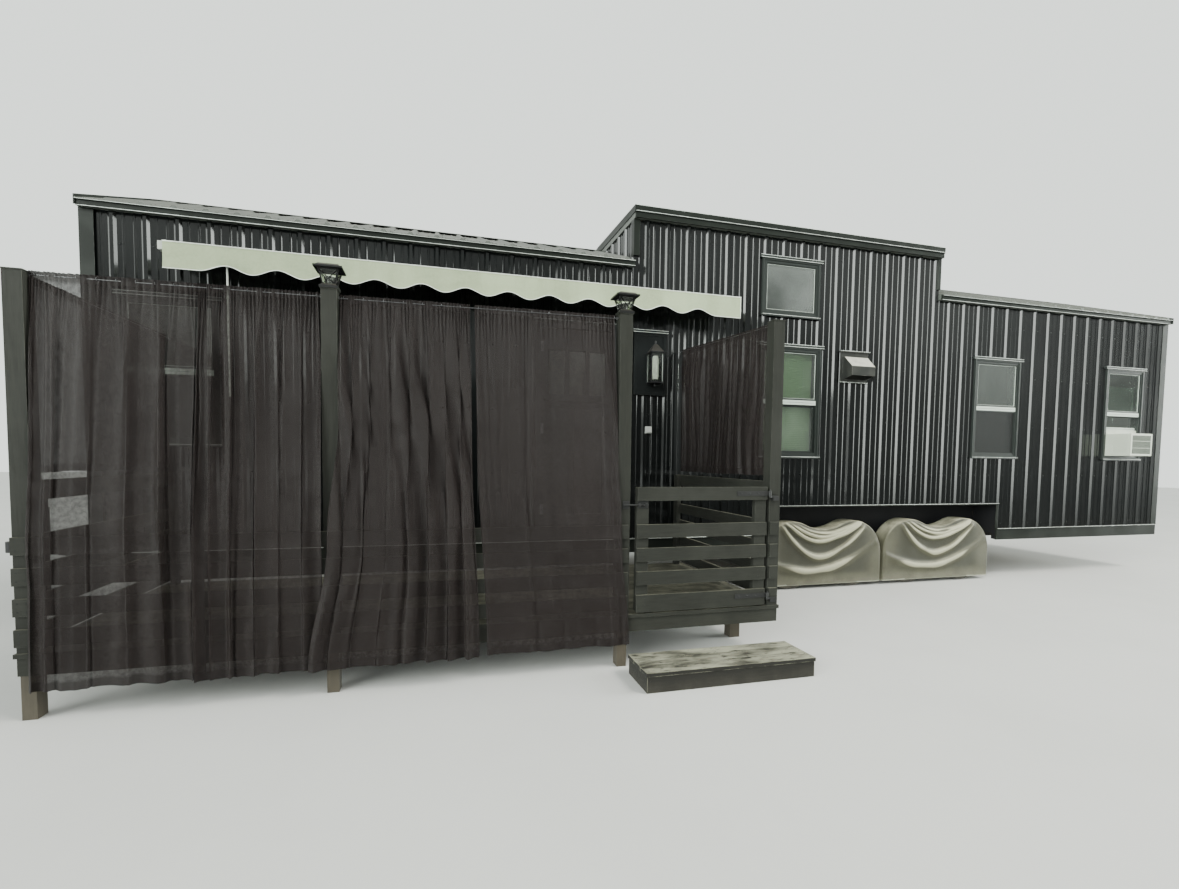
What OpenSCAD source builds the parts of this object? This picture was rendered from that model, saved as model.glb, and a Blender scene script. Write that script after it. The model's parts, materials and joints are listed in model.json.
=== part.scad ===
// Small house on a four-axle trailer with a front deck, railings and a hinged gate.
// Lengths are in millimetres. The house's left front corner is the drawing origin, and placed() moves all to the middle.

/* [House] */
// length of the house along the front
house_l = 12440; // [12300:10:12600]
// width of the house from front wall to rear wall
house_w = 2590; // [2500:10:2600]
// height of the lower edge of the wall sheets above the ground
floor_z = 640; // [600:5:680]
// height of the low roof's drip edge above the ground
eave_z = 3450; // [3400:5:3500]
// climb of the low roof for each millimetre inward
roof_slope = 0.41; // [0.36:0.01:0.45]
// left end of the raised middle part
raised_x0 = 4640; // [4600:5:4700]
// right end of the raised middle part
raised_x1 = 8500; // [8400:5:8600]
// rise of the raised roof's drip edge above the low roof's
raised_step = 480; // [440:5:520]
// thickness of the walls behind their ribbed sheets
wall_t = 88; // [75:1:95]

/* [Ribbed sheets] */
// spacing of the high ribs
rib_pitch = 228.6; // [225:0.1:232]
// place of the first high rib from the left corner
rib_first = 212.6; // [200:0.1:225]
// height of the high ribs
rib_h = 18; // [14:0.5:18]
// height of the low ribs between them
low_rib_h = 4.5; // [3:0.5:6]

/* [Windows and door] */
// height of the sills of the tall windows
sill_z = 1530; // [1500:5:1560]
// height of the tall windows
win_h = 1210; // [1180:5:1230]
// width of the window frames' face
win_face = 50; // [40:1:55]
// left edge of the window behind the deck curtains
win_a_x = 240; // [220:5:300]
// left edge of the two stacked windows
win_b_x = 6110; // [6080:5:6150]
// left edge of the window over the wheels
win_c_x = 9090; // [9050:5:9120]
// distance of the window with the air conditioner from the right end, to its left edge
win_d_in = 1110; // [1080:5:1140]
// left edge of the entry door's frame
door_x = 3650; // [3600:5:3680]
// width of the entry door's frame
door_w = 850; // [820:5:880]
// height of the top of the entry door's frame
door_z1 = 2780; // [2740:5:2800]

/* [Wheels] */
// place of the first axle from the left corner
axle_x = 6600; // [6560:5:6640]
// spacing of the axles
axle_pitch = 820; // [810:5:840]
// radius of the tyres
tyre_r = 385; // [370:1:390]
// left end of the wheel well
well_x0 = 6100; // [6080:5:6120]
// right end of the wheel well
well_x1 = 9560; // [9540:5:9600]
// height of the top of the wheel well
well_z = 943; // [930:1:960]

/* [Deck] */
// reach of the deck's posts in front of the house
deck_y = 1730; // [1680:5:1780]
// height of the deck's boards
deck_z = 370; // [350:5:390]
// side of the square posts
post = 89; // [85:1:92]
// height of the two middle posts' tops
post_z = 2440; // [2400:5:2480]
// drop of the first post's top below them
post_1_drop = 36; // [20:1:45]
// rise of the fourth post's top above them
post_4_rise = 46; // [30:1:60]
// left edge of the first post
post_1 = 549; // [530:1:560]
// left edge of the second post
post_2 = 2067; // [2040:1:2090]
// left edge of the third post
post_3 = 3932; // [3920:1:3945]
// left edge of the fourth post
post_4 = 5120; // [5110:1:5135]
// height of each slat
slat_h = 95; // [88:1:97]
// thickness of the slats
slat_t = 19; // [17:1:21]
// height of the top of the upper railing slat
slat_z = 1000; // [990:1:1010]
// spacing of the slats
slat_pitch = 165.7; // [162:0.1:170]

/* [Gate] */
// height of the gate's upper slat
gate_z = 1262; // [1240:1:1280]
// gap between the gate and the post that carries its hinges
gate_gap = 30; // [26:1:34]
// gap between the gate and the post that it closes against
latch_gap = 50; // [40:1:56]
// radius of the fixed hinge pins
pin_r = 5; // [4:0.5:6]
// clearance between a hinge pin and its barrel all round
pin_clear = 0.05; // [0.02:0.01:0.1]

/* [Awning] */
// left end of the awning's scalloped edge
awn_x0 = 684; // [660:1:700]
// right end of the awning's scalloped edge
awn_x1 = 5680; // [5600:10:5700]
// depth of the scalloped edge's top below the low roof's drip edge
awn_step = 352; // [340:2:370]
// drop of the scalloped edge
awn_drop = 212; // [190:1:220]
// number of raised waves in the scalloped edge
scallops = 12; // [10:1:14]
// height of the waves
scallop_h = 54; // [30:1:60]

/* [Hidden] */
$fn = 48;
e = 0.3;
far = 9000;
// ribbed sheets: plane of the rib crests, plane of the flats, and back of the sheet
crest_y = 1;
flat_y = crest_y + rib_h;
back_y = flat_y + 3;
core_y = back_y + wall_t;
rear = house_w;
ridge_y = house_w / 2;
// low roof: overhang, fascia height, upright thickness of the roof and the flat part of its soffit
over = 40;
fascia_h = 60;
roof_t = 108;
soffit_z = eave_z - fascia_h;
soffit_y = (roof_t - fascia_h) / roof_slope - over;
low_ridge = eave_z + roof_slope * (ridge_y + over);
// raised roof
raised_z = eave_z + raised_step;
raised_rise = 45;
raised_t = 115;
raised_top = raised_z + 55;
raised_soffit = raised_top - raised_t;
raised_run = ridge_y + 20;
raised_ridge = raised_top + raised_rise;
slab_t = 100;
slab_z = floor_z + slab_t;
inner_y = core_y;
// windows: left edge, width, sill height, height, kind (0 single, 1 two sashes, 2 lower sash raised)
win_d_x = house_l - win_d_in;
win_d_w = 700;
loft_win_h = 605;
loft_win_z = raised_soffit - loft_win_h - 225;
low_win_z = sill_z - 30;
low_win_h = loft_win_z - low_win_z - 326;
win_a = [win_a_x, 720, sill_z, win_h, 1];
win_b = [win_b_x, 725, loft_win_z, loft_win_h, 0];
win_b2 = [win_b_x, 770, low_win_z, low_win_h, 1];
win_c = [win_c_x, 730, sill_z, win_h, 1];
win_d = [win_d_x, win_d_w, sill_z, win_h, 2];
front_windows = [win_a, win_b, win_b2, win_c, win_d];
rear_windows = [win_a, win_b, win_b2, win_c, [win_d_x, win_d_w, sill_z, win_h, 1]];
rail_z = 580;
rail_h = 58;
head_h = 26;
door_face = 50;
// wheels
axle_z = tyre_r;
tyre_w = 235;
tyre_y = 22;
rim_r = 203;
wheel_n = 4;
gauge = [tyre_y, house_w - tyre_y - tyre_w];
cover_gap = e;
cover_t = 5;
cover_bottom = 45;
well_y = 330;
plate = 5;
// trailer frame
frame_z0 = 480;
cross_z = frame_z0 + 80;
rail_w = 100;
beam_w = 50;
axle_r = 38;
joists = 10;
rail_y = 430;
tongue_reach = 1350;
// deck
front_y = -deck_y;
post_y1 = front_y + post;
board_t = 25;
rim_z0 = 245;
rim_t = 38;
deck_x0 = post_1;
deck_x1 = post_4 + post;
deck_back = -6;
slat_y = front_y - slat_t;
slats = 4;
slat_low = slat_z - slats * slat_pitch + slat_pitch - slat_h;
cap_t = 6;
wire_r = 2;
wire_y = front_y + post / 2;
wire_z = post_z - 45;
// gate
gate_x0 = post_3 + post + latch_gap;
gate_x1 = post_4 - gate_gap;
stile_w = 89;
stile_t = 38;
stile_y = slat_y + slat_t;
hinge_x = post_4 - 15;
barrel_r = pin_r + 5;
hinge_y = slat_y - barrel_r;
strap_z = [gate_z - slat_h / 2, slat_z - 3 * slat_pitch - slat_h / 2];
barrel_h = 36;
bolt_r = 6;
bolt_z = gate_z - slat_h - 29;
// box step
step_x0 = post_3 + 48;
step_x1 = post_4 + 80;
step_y0 = front_y - 470;
step_y1 = front_y - 120;
step_z = 130;
// overall reach, used only to centre the drawing
rake = 8;
eave_reach = 58;
low_x = -tongue_reach;
high_x = house_l + rake;
low_y = step_y0;
high_y = house_w + eave_reach;
mid_x = (low_x + high_x) / 2;
mid_y = (low_y + high_y) / 2;

// moves the house drawing so that the whole part stands over the middle of the floor
module placed() {
    translate([-mid_x, -mid_y, 0]) children();
}

// a block between two corners
module block(p, q) {
    translate(p) cube(q - p);
}

// a flat outline given as [y, z] points, run along X
module run_x(x0, x1, pts) {
    translate([x0, 0, 0]) rotate([90, 0, 90]) linear_extrude(x1 - x0) polygon(pts);
}

// a flat outline given as [x, z] points, run along Y
module run_y(y0, y1, pts) {
    translate([0, y1, 0]) rotate([90, 0, 0]) linear_extrude(y1 - y0) polygon(pts);
}

// a round bar along X, Y or Z between two places on the axis
module bar_x(x0, x1, y, z, r) {
    translate([x0, y, z]) rotate([0, 90, 0]) cylinder(h = x1 - x0, r = r);
}

module bar_y(y0, y1, x, z, r) {
    translate([x, y0, z]) rotate([-90, 0, 0]) cylinder(h = y1 - y0, r = r);
}

module bar_z(z0, z1, x, y, r) {
    translate([x, y, z0]) cylinder(h = z1 - z0, r = r);
}

// the rear of the house repeats its front
module both_sides() {
    children();
    translate([0, house_w, 0]) mirror([0, 1, 0]) children();
}

module rear_side() {
    translate([0, house_w, 0]) mirror([0, 1, 0]) children();
}

// outline of one rib standing on the flats
function rib(c, foot, top, h) = [[c - foot, 0], [c - top, h], [c + top, h], [c + foot, 0]];
function high_rib(c, a, b) = (c - 30 > a && c + 30 < b) ? rib(c, 30, 13, rib_h) : [];
function low_rib(c, a, b) = (c - 10 > a && c + 10 < b) ? rib(c, 10, 5, low_rib_h) : [];
function rib_group(c, a, b) = concat(high_rib(c, a, b), low_rib(c + rib_pitch / 3, a, b),
    low_rib(c + rib_pitch * 2 / 3, a, b));
function rib_line(a, b, first) = [for (k = [-2:ceil((b - first) / rib_pitch)]) each rib_group(first + k * rib_pitch, a, b)];
// outline of a ribbed sheet from a to b, with the given thickness below the flats
function sheet(a, b, t, first) = concat([[a, -t], [a, 0]], rib_line(a, b, first), [[b, 0], [b, -t]]);

// an upright ribbed sheet facing the front
module siding(a, b, z0, z1, first) {
    translate([0, flat_y, z0]) linear_extrude(z1 - z0) mirror([0, 1]) polygon(sheet(a, b, back_y - flat_y, first));
}

// everything above the underside of the low roofs and of the raised roof
low_line = [[-far, soffit_z], [soffit_y, soffit_z], [ridge_y, low_ridge - roof_t], [rear - soffit_y, soffit_z],
    [far, soffit_z]];
raised_line = [[-20, raised_soffit], [ridge_y, raised_soffit + raised_rise], [rear + 20, raised_soffit]];

module above_low(x0, x1) {
    run_x(x0, x1, concat(low_line, [[far, far], [-far, far]]));
}

module below_low(x0, x1) {
    run_x(x0, x1, concat(low_line, [[far, -far], [-far, -far]]));
}

module above_raised(x0, x1) {
    run_x(x0, x1, concat([[-far, raised_soffit]], raised_line, [[far, raised_soffit], [far, far], [-far, far]]));
}

// holes through the walls, seen from the front
module window_holes(list, inset, y0, y1) {
    for (w = list)
        block([w[0] + inset, y0, w[2] + inset], [w[0] + w[1] - inset, y1, w[2] + w[3] - inset]);
}

module head_slots(list) {
    for (w = list)
        block([w[0] - 28, -50, w[2] + w[3] - 1], [w[0] + w[1] + 28, back_y + 1, w[2] + w[3] + head_h]);
}

module door_hole(y0, y1) {
    block([door_x, y0, floor_z - 1], [door_x + door_w, y1, door_z1]);
}

module well_hole(y0, y1) {
    block([well_x0, y0, 0], [well_x1, y1, well_z]);
}

module house_floor() {
    color("#6b5a46") placed() difference() {
        block([back_y, back_y, floor_z], [house_l - back_y, rear - back_y, slab_z]);
        both_sides() block([well_x0, -50, 0], [well_x1, well_y, far]);
    }
}

// the long walls are five framed panels that meet over the wheel well and at the raised part
panels = [[back_y, raised_x0 + back_y - e], [raised_x0 + back_y, well_x0 - e], [well_x0, raised_x1 - back_y - e],
    [raised_x1 - back_y, well_x1 - e], [well_x1, house_l - back_y]];

module long_wall(list) {
    difference() {
        for (p = panels)
            block([p[0], back_y, slab_z], [p[1], core_y, raised_top]);
        above_low(-10, raised_x0 + back_y);
        above_raised(raised_x0 - 10, raised_x1 + 10);
        above_low(raised_x1 - back_y - e, house_l + 10);
        window_holes(list, 12, -50, 200);
        well_hole(-50, 200);
    }
}

module front_wall() {
    color("#8a7a62") placed() difference() {
        long_wall(front_windows);
        door_hole(-50, 200);
    }
}

module rear_wall() {
    color("#8a7a62") placed() rear_side() long_wall(rear_windows);
}

module end_walls() {
    color("#8a7a62") placed() difference() {
        union() {
            block([back_y, core_y, slab_z], [core_y, rear - core_y, low_ridge]);
            block([house_l - core_y, core_y, slab_z], [house_l - back_y, rear - core_y, low_ridge]);
        }
        translate([0, 0, -e]) above_low(-50, house_l + 50);
    }
}

module long_siding(list) {
    difference() {
        siding(crest_y, house_l - crest_y, floor_z, raised_soffit, rib_first);
        block([-50, -50, soffit_z], [raised_x0 + crest_y, 50, far]);
        block([raised_x1 - crest_y, -50, soffit_z], [house_l + 50, 50, far]);
        window_holes(list, 0, -50, 200);
        head_slots(list);
        well_hole(-50, 200);
    }
}

module front_siding() {
    color("#23262a") placed() difference() {
        long_siding(front_windows);
        door_hole(-50, 200);
        block([door_x - 28, -50, door_z1 - 1], [door_x + door_w + 28, back_y + 1, door_z1 + head_h]);
    }
}

module rear_siding() {
    color("#23262a") placed() rear_side() long_siding(rear_windows);
}

// a ribbed sheet that faces left, from the front corner to the rear corner
module side_sheet(z0, z1) {
    rotate([0, 0, 90]) mirror([0, 1, 0]) siding(back_y, rear - back_y, z0, z1, back_y + 60);
}

module end_siding() {
    color("#23262a") placed() difference() {
        union() {
            side_sheet(floor_z, low_ridge);
            translate([house_l, 0, 0]) mirror([1, 0, 0]) side_sheet(floor_z, low_ridge);
        }
        translate([0, 0, -e]) above_low(-50, house_l + 50);
    }
}

// one slope of roofing: thick slab behind the fascia and a thin ribbed edge past it
module slope(x0, x1, y0, z0, rise, run, first) {
    a = atan(rise);
    translate([0, y0, z0]) rotate([a, 0, 0]) translate([0, run, 0]) rotate([90, 0, 0])
        linear_extrude(run + 200) polygon(sheet(x0, x1, 220, first));
}

module thin_slope(x0, x1, y0, z0, rise, run, first) {
    a = atan(rise);
    translate([0, y0, z0]) rotate([a, 0, 0]) translate([0, run, 0]) rotate([90, 0, 0])
        linear_extrude(run + 200) polygon(sheet(x0, x1, 4, first));
}

module low_roof(x0, x1) {
    half = ridge_y + 600;
    both_sides() {
        intersection() {
            difference() {
                slope(x0, x1, -over, eave_z, roof_slope, half, rib_first);
                below_low(x0 - 50, x1 + 50);
            }
            block([x0 - 10, -20, 0], [x1 + 10, ridge_y, far]);
        }
        intersection() {
            thin_slope(x0, x1, -over, eave_z, roof_slope, half, rib_first);
            block([x0 - 10, -over - 18, 0], [x1 + 10, 60, far]);
        }
    }
}

module left_roof() {
    color("#2b2e31") placed() low_roof(0, raised_x0 - e);
}

module right_roof() {
    color("#2b2e31") placed() low_roof(raised_x1 + e, house_l);
}

module middle_roof() {
    rise = raised_rise / raised_run;
    color("#2b2e31") placed() difference() {
        both_sides() intersection() {
            slope(raised_x0, raised_x1, -20, raised_top, rise, ridge_y + 600, rib_first);
            block([raised_x0 - 30, -20, 0], [raised_x1 + 30, ridge_y, far]);
        }
        difference() {
            block([raised_x0 - 50, -200, 0], [raised_x1 + 50, rear + 200, far]);
            above_raised(raised_x0 - 60, raised_x1 + 60);
        }
    }
}

module cheek() {
    difference() {
        union() {
            translate([raised_x0, 0, 0]) side_sheet(soffit_z, raised_ridge);
            block([raised_x0 + back_y, core_y, soffit_z], [raised_x0 + 100, rear - core_y, raised_ridge]);
        }
        below_low(raised_x0 - 50, raised_x0 + 200);
        above_raised(raised_x0 - 50, raised_x0 + 200);
    }
}

module raised_cheeks() {
    color("#23262a") placed() {
        cheek();
        translate([raised_x0 + raised_x1, 0, 0]) mirror([1, 0, 0]) cheek();
    }
}

// a band that follows the low roof's end
function low_top(y) = eave_z + roof_slope * (y + over);
module low_rake(x0, x1) {
    top = 24;
    drop = -55;
    run_x(x0, x1, [[-over - 12, low_top(-over - 12) + top], [ridge_y, low_top(ridge_y) + top],
        [rear + over + 12, low_top(-over - 12) + top], [rear + over + 12, low_top(-over - 12) + drop],
        [ridge_y, low_top(ridge_y) + drop], [-over - 12, low_top(-over - 12) + drop]]);
}

module raised_rake(x0, x1) {
    run_x(x0, x1, [[-45, raised_top + 4], [ridge_y, raised_ridge + 24], [rear + 45, raised_top + 4],
        [rear + 45, raised_z - 8], [ridge_y, raised_ridge - 60], [-45, raised_z - 8]]);
}

// a folded cap over a ridge
module ridge_cap(x0, x1, z, fall, half) {
    run_x(x0, x1, [[ridge_y - half, z - fall * half], [ridge_y, z], [ridge_y + half, z - fall * half],
        [ridge_y + half, z - fall * half + 4], [ridge_y, z + 4], [ridge_y - half, z - fall * half + 4]]);
}

module roof_trim() {
    cap_z = low_ridge + rib_h * 1.1;
    color("#34383a") placed() {
        low_rake(-rake, -e);
        low_rake(house_l + e, house_l + rake);
        difference() {
            union() {
                raised_rake(raised_x0 - rake, raised_x0 - e);
                raised_rake(raised_x1 + e, raised_x1 + rake);
            }
            translate([0, 0, roof_t + 6]) below_low(raised_x0 - 60, raised_x1 + 60);
        }
        ridge_cap(0, raised_x0 - rake - 2, cap_z, roof_slope, 170);
        ridge_cap(raised_x1 + rake + 2, house_l, cap_z, roof_slope, 170);
        ridge_cap(raised_x0, raised_x1, raised_ridge + rib_h + 1, raised_rise / raised_run, 170);
    }
}

module eave_trim() {
    color("#3c4142") placed() both_sides() {
        for (x = [[0, raised_x0 - e], [raised_x1 + e, house_l]])
            run_x(x[0], x[1], [[-over, soffit_z], [-20 - e, soffit_z], [-20 - e, low_top(-20 - e) - 6],
                [-over, low_top(-over) - 6]]);
        block([raised_x0, -over, raised_soffit], [raised_x1, -20 - e, raised_z - 6]);
        block([raised_x0, -over - 14, raised_z - 6], [raised_x1, -20 - e, raised_z]);
        block([raised_x0, -over - 5, raised_z], [raised_x1, -20 - e, raised_top + 3]);
    }
}

// an angle strip around an outer corner
module angle(x, y, dx, dy, z0, z1, leg, t) {
    translate([x, y, z0]) linear_extrude(z1 - z0) polygon([[0, 0], [dx * leg, 0], [dx * leg, dy * t],
        [dx * t, dy * t], [dx * t, dy * leg], [0, dy * leg]]);
}

module corner_trim() {
    color("#3c4142") placed() both_sides() {
        angle(-3, -3, 1, 1, floor_z, soffit_z, 100, 4);
        angle(house_l + 3, -3, -1, 1, floor_z, soffit_z, 100, 4);
        angle(raised_x0 - 3, -3, 1, 1, low_top(97) + 4, raised_soffit, 64, 4);
        angle(raised_x1 + 3, -3, -1, 1, low_top(97) + 4, raised_soffit, 64, 4);
    }
}

module base_trim() {
    color("#2f3335") placed() {
        both_sides() {
            for (x = [[-3, well_x0], [well_x1, house_l + 3]]) {
                block([x[0], 2, frame_z0 + 15], [x[1], back_y, floor_z - 6]);
                block([x[0], -14, floor_z - 6], [x[1], back_y, floor_z]);
            }
            block([well_x0, -14, well_z], [well_x1, crest_y, well_z + 16]);
            block([well_x0 - 3, -3, floor_z + e], [well_x0 + 30, crest_y, well_z]);
            block([well_x1 - 30, -3, floor_z + e], [well_x1 + 3, crest_y, well_z]);
        }
        block([-3, back_y + e, frame_z0 + 106], [back_y - 3, rear - back_y - e, floor_z - 6]);
        block([house_l - back_y + 3, back_y + e, frame_z0 + 15], [house_l + 3, rear - back_y - e, floor_z - 6]);
    }
}

// a window's frame with its sash rails
module window_frame(w) {
    x0 = w[0];
    x1 = w[0] + w[1];
    z0 = w[2];
    z1 = w[2] + w[3];
    f = win_face;
    difference() {
        union() {
            block([x0, -6, z0], [x1, back_y, z1]);
            block([x0 + 12, back_y, z0 + 12], [x1 - 12, core_y + 12, z1 - 12]);
            block([x0 - 28, -14, z1 - 1], [x1 + 28, back_y, z1 + head_h]);
            block([x0 - 6, -18, z0 - 12], [x1 + 6, crest_y, z0 + 6]);
        }
        block([x0 + f, -50, z0 + f], [x1 - f, 200, z1 - f]);
        block([x0 + 22, -50, z0 + 22], [x1 - 22, 2, z1 - 22]);
    }
    if (w[4] > 0)
        block([x0 + f - 1, 6, z0 + rail_z], [x1 - f + 1, 40, z0 + rail_z + rail_h]);
    if (w[4] == 2)
        block([x0 + f - 1, 42, z0 + rail_z - 180], [x1 - f + 1, 60, z0 + rail_z - 145]);
}

module window_frames() {
    color("#2a2e31") placed() {
        for (w = front_windows) window_frame(w);
        rear_side() for (w = rear_windows) window_frame(w);
    }
}

module window_panes(w) {
    x0 = w[0] + win_face;
    x1 = w[0] + w[1] - win_face;
    z0 = w[2] + win_face;
    z1 = w[2] + w[3] - win_face;
    mid = w[2] + rail_z;
    if (w[4] == 0)
        block([x0, 18, z0], [x1, 24, z1]);
    if (w[4] > 0)
        block([x0, 16, mid + rail_h], [x1, 22, z1]);
    if (w[4] == 1)
        block([x0, 32, z0], [x1, 38, mid]);
    if (w[4] == 2)
        block([x0, 46, mid - 145], [x1, 52, mid + 400]);
}

door_lights = 3;
light_w = 170;
light_z0 = 2090;
light_z1 = 2520;
leaf_x0 = door_x + door_face;
leaf_x1 = door_x + door_w - door_face;
light_gap = 40;
light_first = (leaf_x0 + leaf_x1) / 2 - (door_lights * light_w + (door_lights - 1) * light_gap) / 2;
function light_x(i) = light_first + i * (light_w + light_gap);

module window_glass() {
    color("#a9b4b4", 0.4) placed() {
        for (w = front_windows) window_panes(w);
        rear_side() for (w = rear_windows) window_panes(w);
        for (i = [0:door_lights - 1])
            block([light_x(i), 50, light_z0], [light_x(i) + light_w, 56, light_z1]);
    }
}

// a closed slatted blind deep in the tall window of the middle part
module window_blind() {
    w = win_b2;
    y = core_y - 6;
    color("#b9c8b4") placed() block([w[0] + win_face + e, y, w[2] + win_face + 4],
        [w[0] + w[1] - win_face - e, y + 4, w[2] + w[3] - win_face - 2]);
}

module entry_door() {
    color("#2a2c2b") placed() difference() {
        union() {
            difference() {
                union() {
                    block([door_x, -6, slab_z], [door_x + door_w, core_y, door_z1]);
                    block([door_x, -6, floor_z], [door_x + door_w, back_y, slab_z + 1]);
                }
                block([leaf_x0, -50, slab_z + 20], [leaf_x1, 200, door_z1 - door_face]);
            }
            block([door_x - 28, -14, door_z1 - 1], [door_x + door_w + 28, back_y, door_z1 + head_h]);
            block([leaf_x0, 30, slab_z + 20], [leaf_x1, 74, door_z1 - door_face]);
            block([leaf_x0 + 40, 8, light_z0 - 70], [leaf_x1 - 40, 30, light_z0 - 45]);
            bar_y(14, 30, leaf_x1 - 62, 1740, 26);
            block([leaf_x1 - 180, 2, 1731], [leaf_x1 - 52, 14, 1749]);
            bar_y(18, 30, leaf_x1 - 62, 1880, 24);
        }
        for (i = [0:door_lights - 1])
            block([light_x(i), 20, light_z0], [light_x(i) + light_w, 90, light_z1]);
        for (i = [0, 1])
            block([leaf_x0 + 110 + i * 290, 20, 900], [leaf_x0 + 350 + i * 290, 38, 1960]);
    }
}

hood_x0 = 7130;
hood_x1 = 7500;
hood_z0 = 2360;
hood_z1 = 2700;

module vent_hood() {
    x0 = hood_x0 + 30;
    x1 = hood_x1 - 30;
    color("#4a4f49") placed() {
        difference() {
            union() {
                block([hood_x0, -11, hood_z0], [hood_x1, crest_y, hood_z1]);
                run_x(x0, x1, [[-11, hood_z0 + 30], [-160, hood_z0 + 60], [-160, hood_z0 + 160],
                    [-40, hood_z1 - 60], [-11, hood_z1 - 60]]);
            }
            run_x(x0 + 8, x1 - 8, [[-20, hood_z0 + 20], [-152, hood_z0 + 20], [-152, hood_z0 + 154],
                [-40, hood_z1 - 72], [-20, hood_z1 - 72]]);
        }
        block([hood_x0 - 12, -30, hood_z1], [hood_x1 + 12, crest_y, hood_z1 + 10]);
    }
}

board_x0 = 4655;
board_x1 = 5000;
board_z0 = 2115;
board_z1 = 2745;

module lantern_board() {
    color("#24272a") placed() difference() {
        union() {
            block([board_x0, -22, board_z0], [board_x1, crest_y, board_z1]);
            block([board_x0 - 18, -34, board_z1], [board_x1 + 18, crest_y, board_z1 + 24]);
        }
        block([board_x0 + 28, -40, board_z0 + 28], [board_x1 - 28, -16, board_z1 - 28]);
    }
}

outlet_x0 = board_x0 + 136;
outlet_x1 = outlet_x0 + 66;
outlet_z0 = board_z0 - 390;
outlet_z1 = outlet_z0 + 70;

module outlet_cover() {
    color("#b9bdb8") placed() difference() {
        union() {
            block([outlet_x0, -16, outlet_z0], [outlet_x1, crest_y, outlet_z1]);
            block([outlet_x0 + 6, -34, outlet_z0 + 6], [outlet_x1 - 6, -16, outlet_z1 - 6]);
        }
        block([outlet_x0 + 12, -40, outlet_z0 + 1], [outlet_x1 - 12, -26, outlet_z0 + 10]);
    }
}

// wall lantern: middle, half width and heights of its cage
lan_x = (board_x0 + board_x1) / 2 + 18;
lan_y = -110;
lan_r = 68;
lan_z0 = 2235;
lan_z1 = 2520;

module pyramid(x, y, r, top, z0, z1) {
    intersection() {
        run_x(x - r, x + r, [[y - r, z0], [y + r, z0], [y + top, z1], [y - top, z1]]);
        run_y(y - r, y + r, [[x - r, z0], [x + r, z0], [x + top, z1], [x - top, z1]]);
    }
}

module wall_lantern() {
    color("#1c1e1f") placed() {
        block([lan_x - 45, -28, lan_z0 + 40], [lan_x + 45, -16, lan_z1 - 20]);
        block([lan_x - 9, lan_y + 20, lan_z1 + 12], [lan_x + 9, -20, lan_z1 + 30]);
        block([lan_x - 9, -40, lan_z1 - 50], [lan_x + 9, -20, lan_z1 + 20]);
        block([lan_x - lan_r, lan_y - lan_r, lan_z0 - 14], [lan_x + lan_r, lan_y + lan_r, lan_z0]);
        for (sx = [-1, 1], sy = [-1, 1])
            translate([lan_x + sx * (lan_r - 5) - 5, lan_y + sy * (lan_r - 5) - 5, lan_z0])
                cube([10, 10, lan_z1 - lan_z0]);
        block([lan_x - lan_r - 6, lan_y - lan_r - 6, lan_z1], [lan_x + lan_r + 6, lan_y + lan_r + 6, lan_z1 + 12]);
        pyramid(lan_x, lan_y, lan_r, 16, lan_z1 + 12, lan_z1 + 90);
        bar_z(lan_z1 + 90, lan_z1 + 125, lan_x, lan_y, 9);
        bar_z(lan_z0, lan_z0 + 70, lan_x, lan_y, 17);
        translate([lan_x, lan_y, lan_z0 + 92]) sphere(r = 27);
        bar_z(lan_z0 - 40, lan_z0 - 14, lan_x, lan_y, 14);
    }
}

module lantern_glass() {
    r = lan_r - 11;
    color("#c9d2cf", 0.4) placed() difference() {
        block([lan_x - r, lan_y - r, lan_z0], [lan_x + r, lan_y + r, lan_z1]);
        block([lan_x - r + 3, lan_y - r + 3, lan_z0 - 1], [lan_x + r - 3, lan_y + r - 3, lan_z1 + 1]);
    }
}

ac_x0 = win_d_x + win_face + 2;
ac_w = 395;
ac_z0 = sill_z + win_face;
ac_h = 290;
ac_y0 = -268;

module air_conditioner() {
    x1 = ac_x0 + ac_w;
    z1 = ac_z0 + ac_h;
    color("#dfe2dd") placed() {
        difference() {
            union() {
                block([ac_x0, ac_y0, ac_z0], [x1, core_y + 80, z1]);
                block([ac_x0, -2, z1], [x1, 30, z1 + 25]);
                block([x1, 20, ac_z0], [win_d_x + win_d_w - win_face - 2, 34, z1 + 60]);
                block([ac_x0, 20, z1], [x1, 34, z1 + 60]);
            }
            for (i = [0:10])
                block([x1 - 168, ac_y0 - 5, ac_z0 + 40 + i * 20], [x1 - 22, ac_y0 + 8, ac_z0 + 50 + i * 20]);
            for (i = [0:5])
                block([ac_x0 - 5, ac_y0 + 40, ac_z0 + 50 + i * 16], [ac_x0 + 6, ac_y0 + 190, ac_z0 + 57 + i * 16]);
        }
        block([ac_x0 + 20, ac_y0 - 4, ac_z0 + 30], [x1 - 182, ac_y0, z1 - 30]);
    }
}

// awning: wall bar, roller, front bar, folded arms and crank rod
awn_y = -300;
awn_z = eave_z - awn_step - 8;
bar_end = 34;

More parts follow.
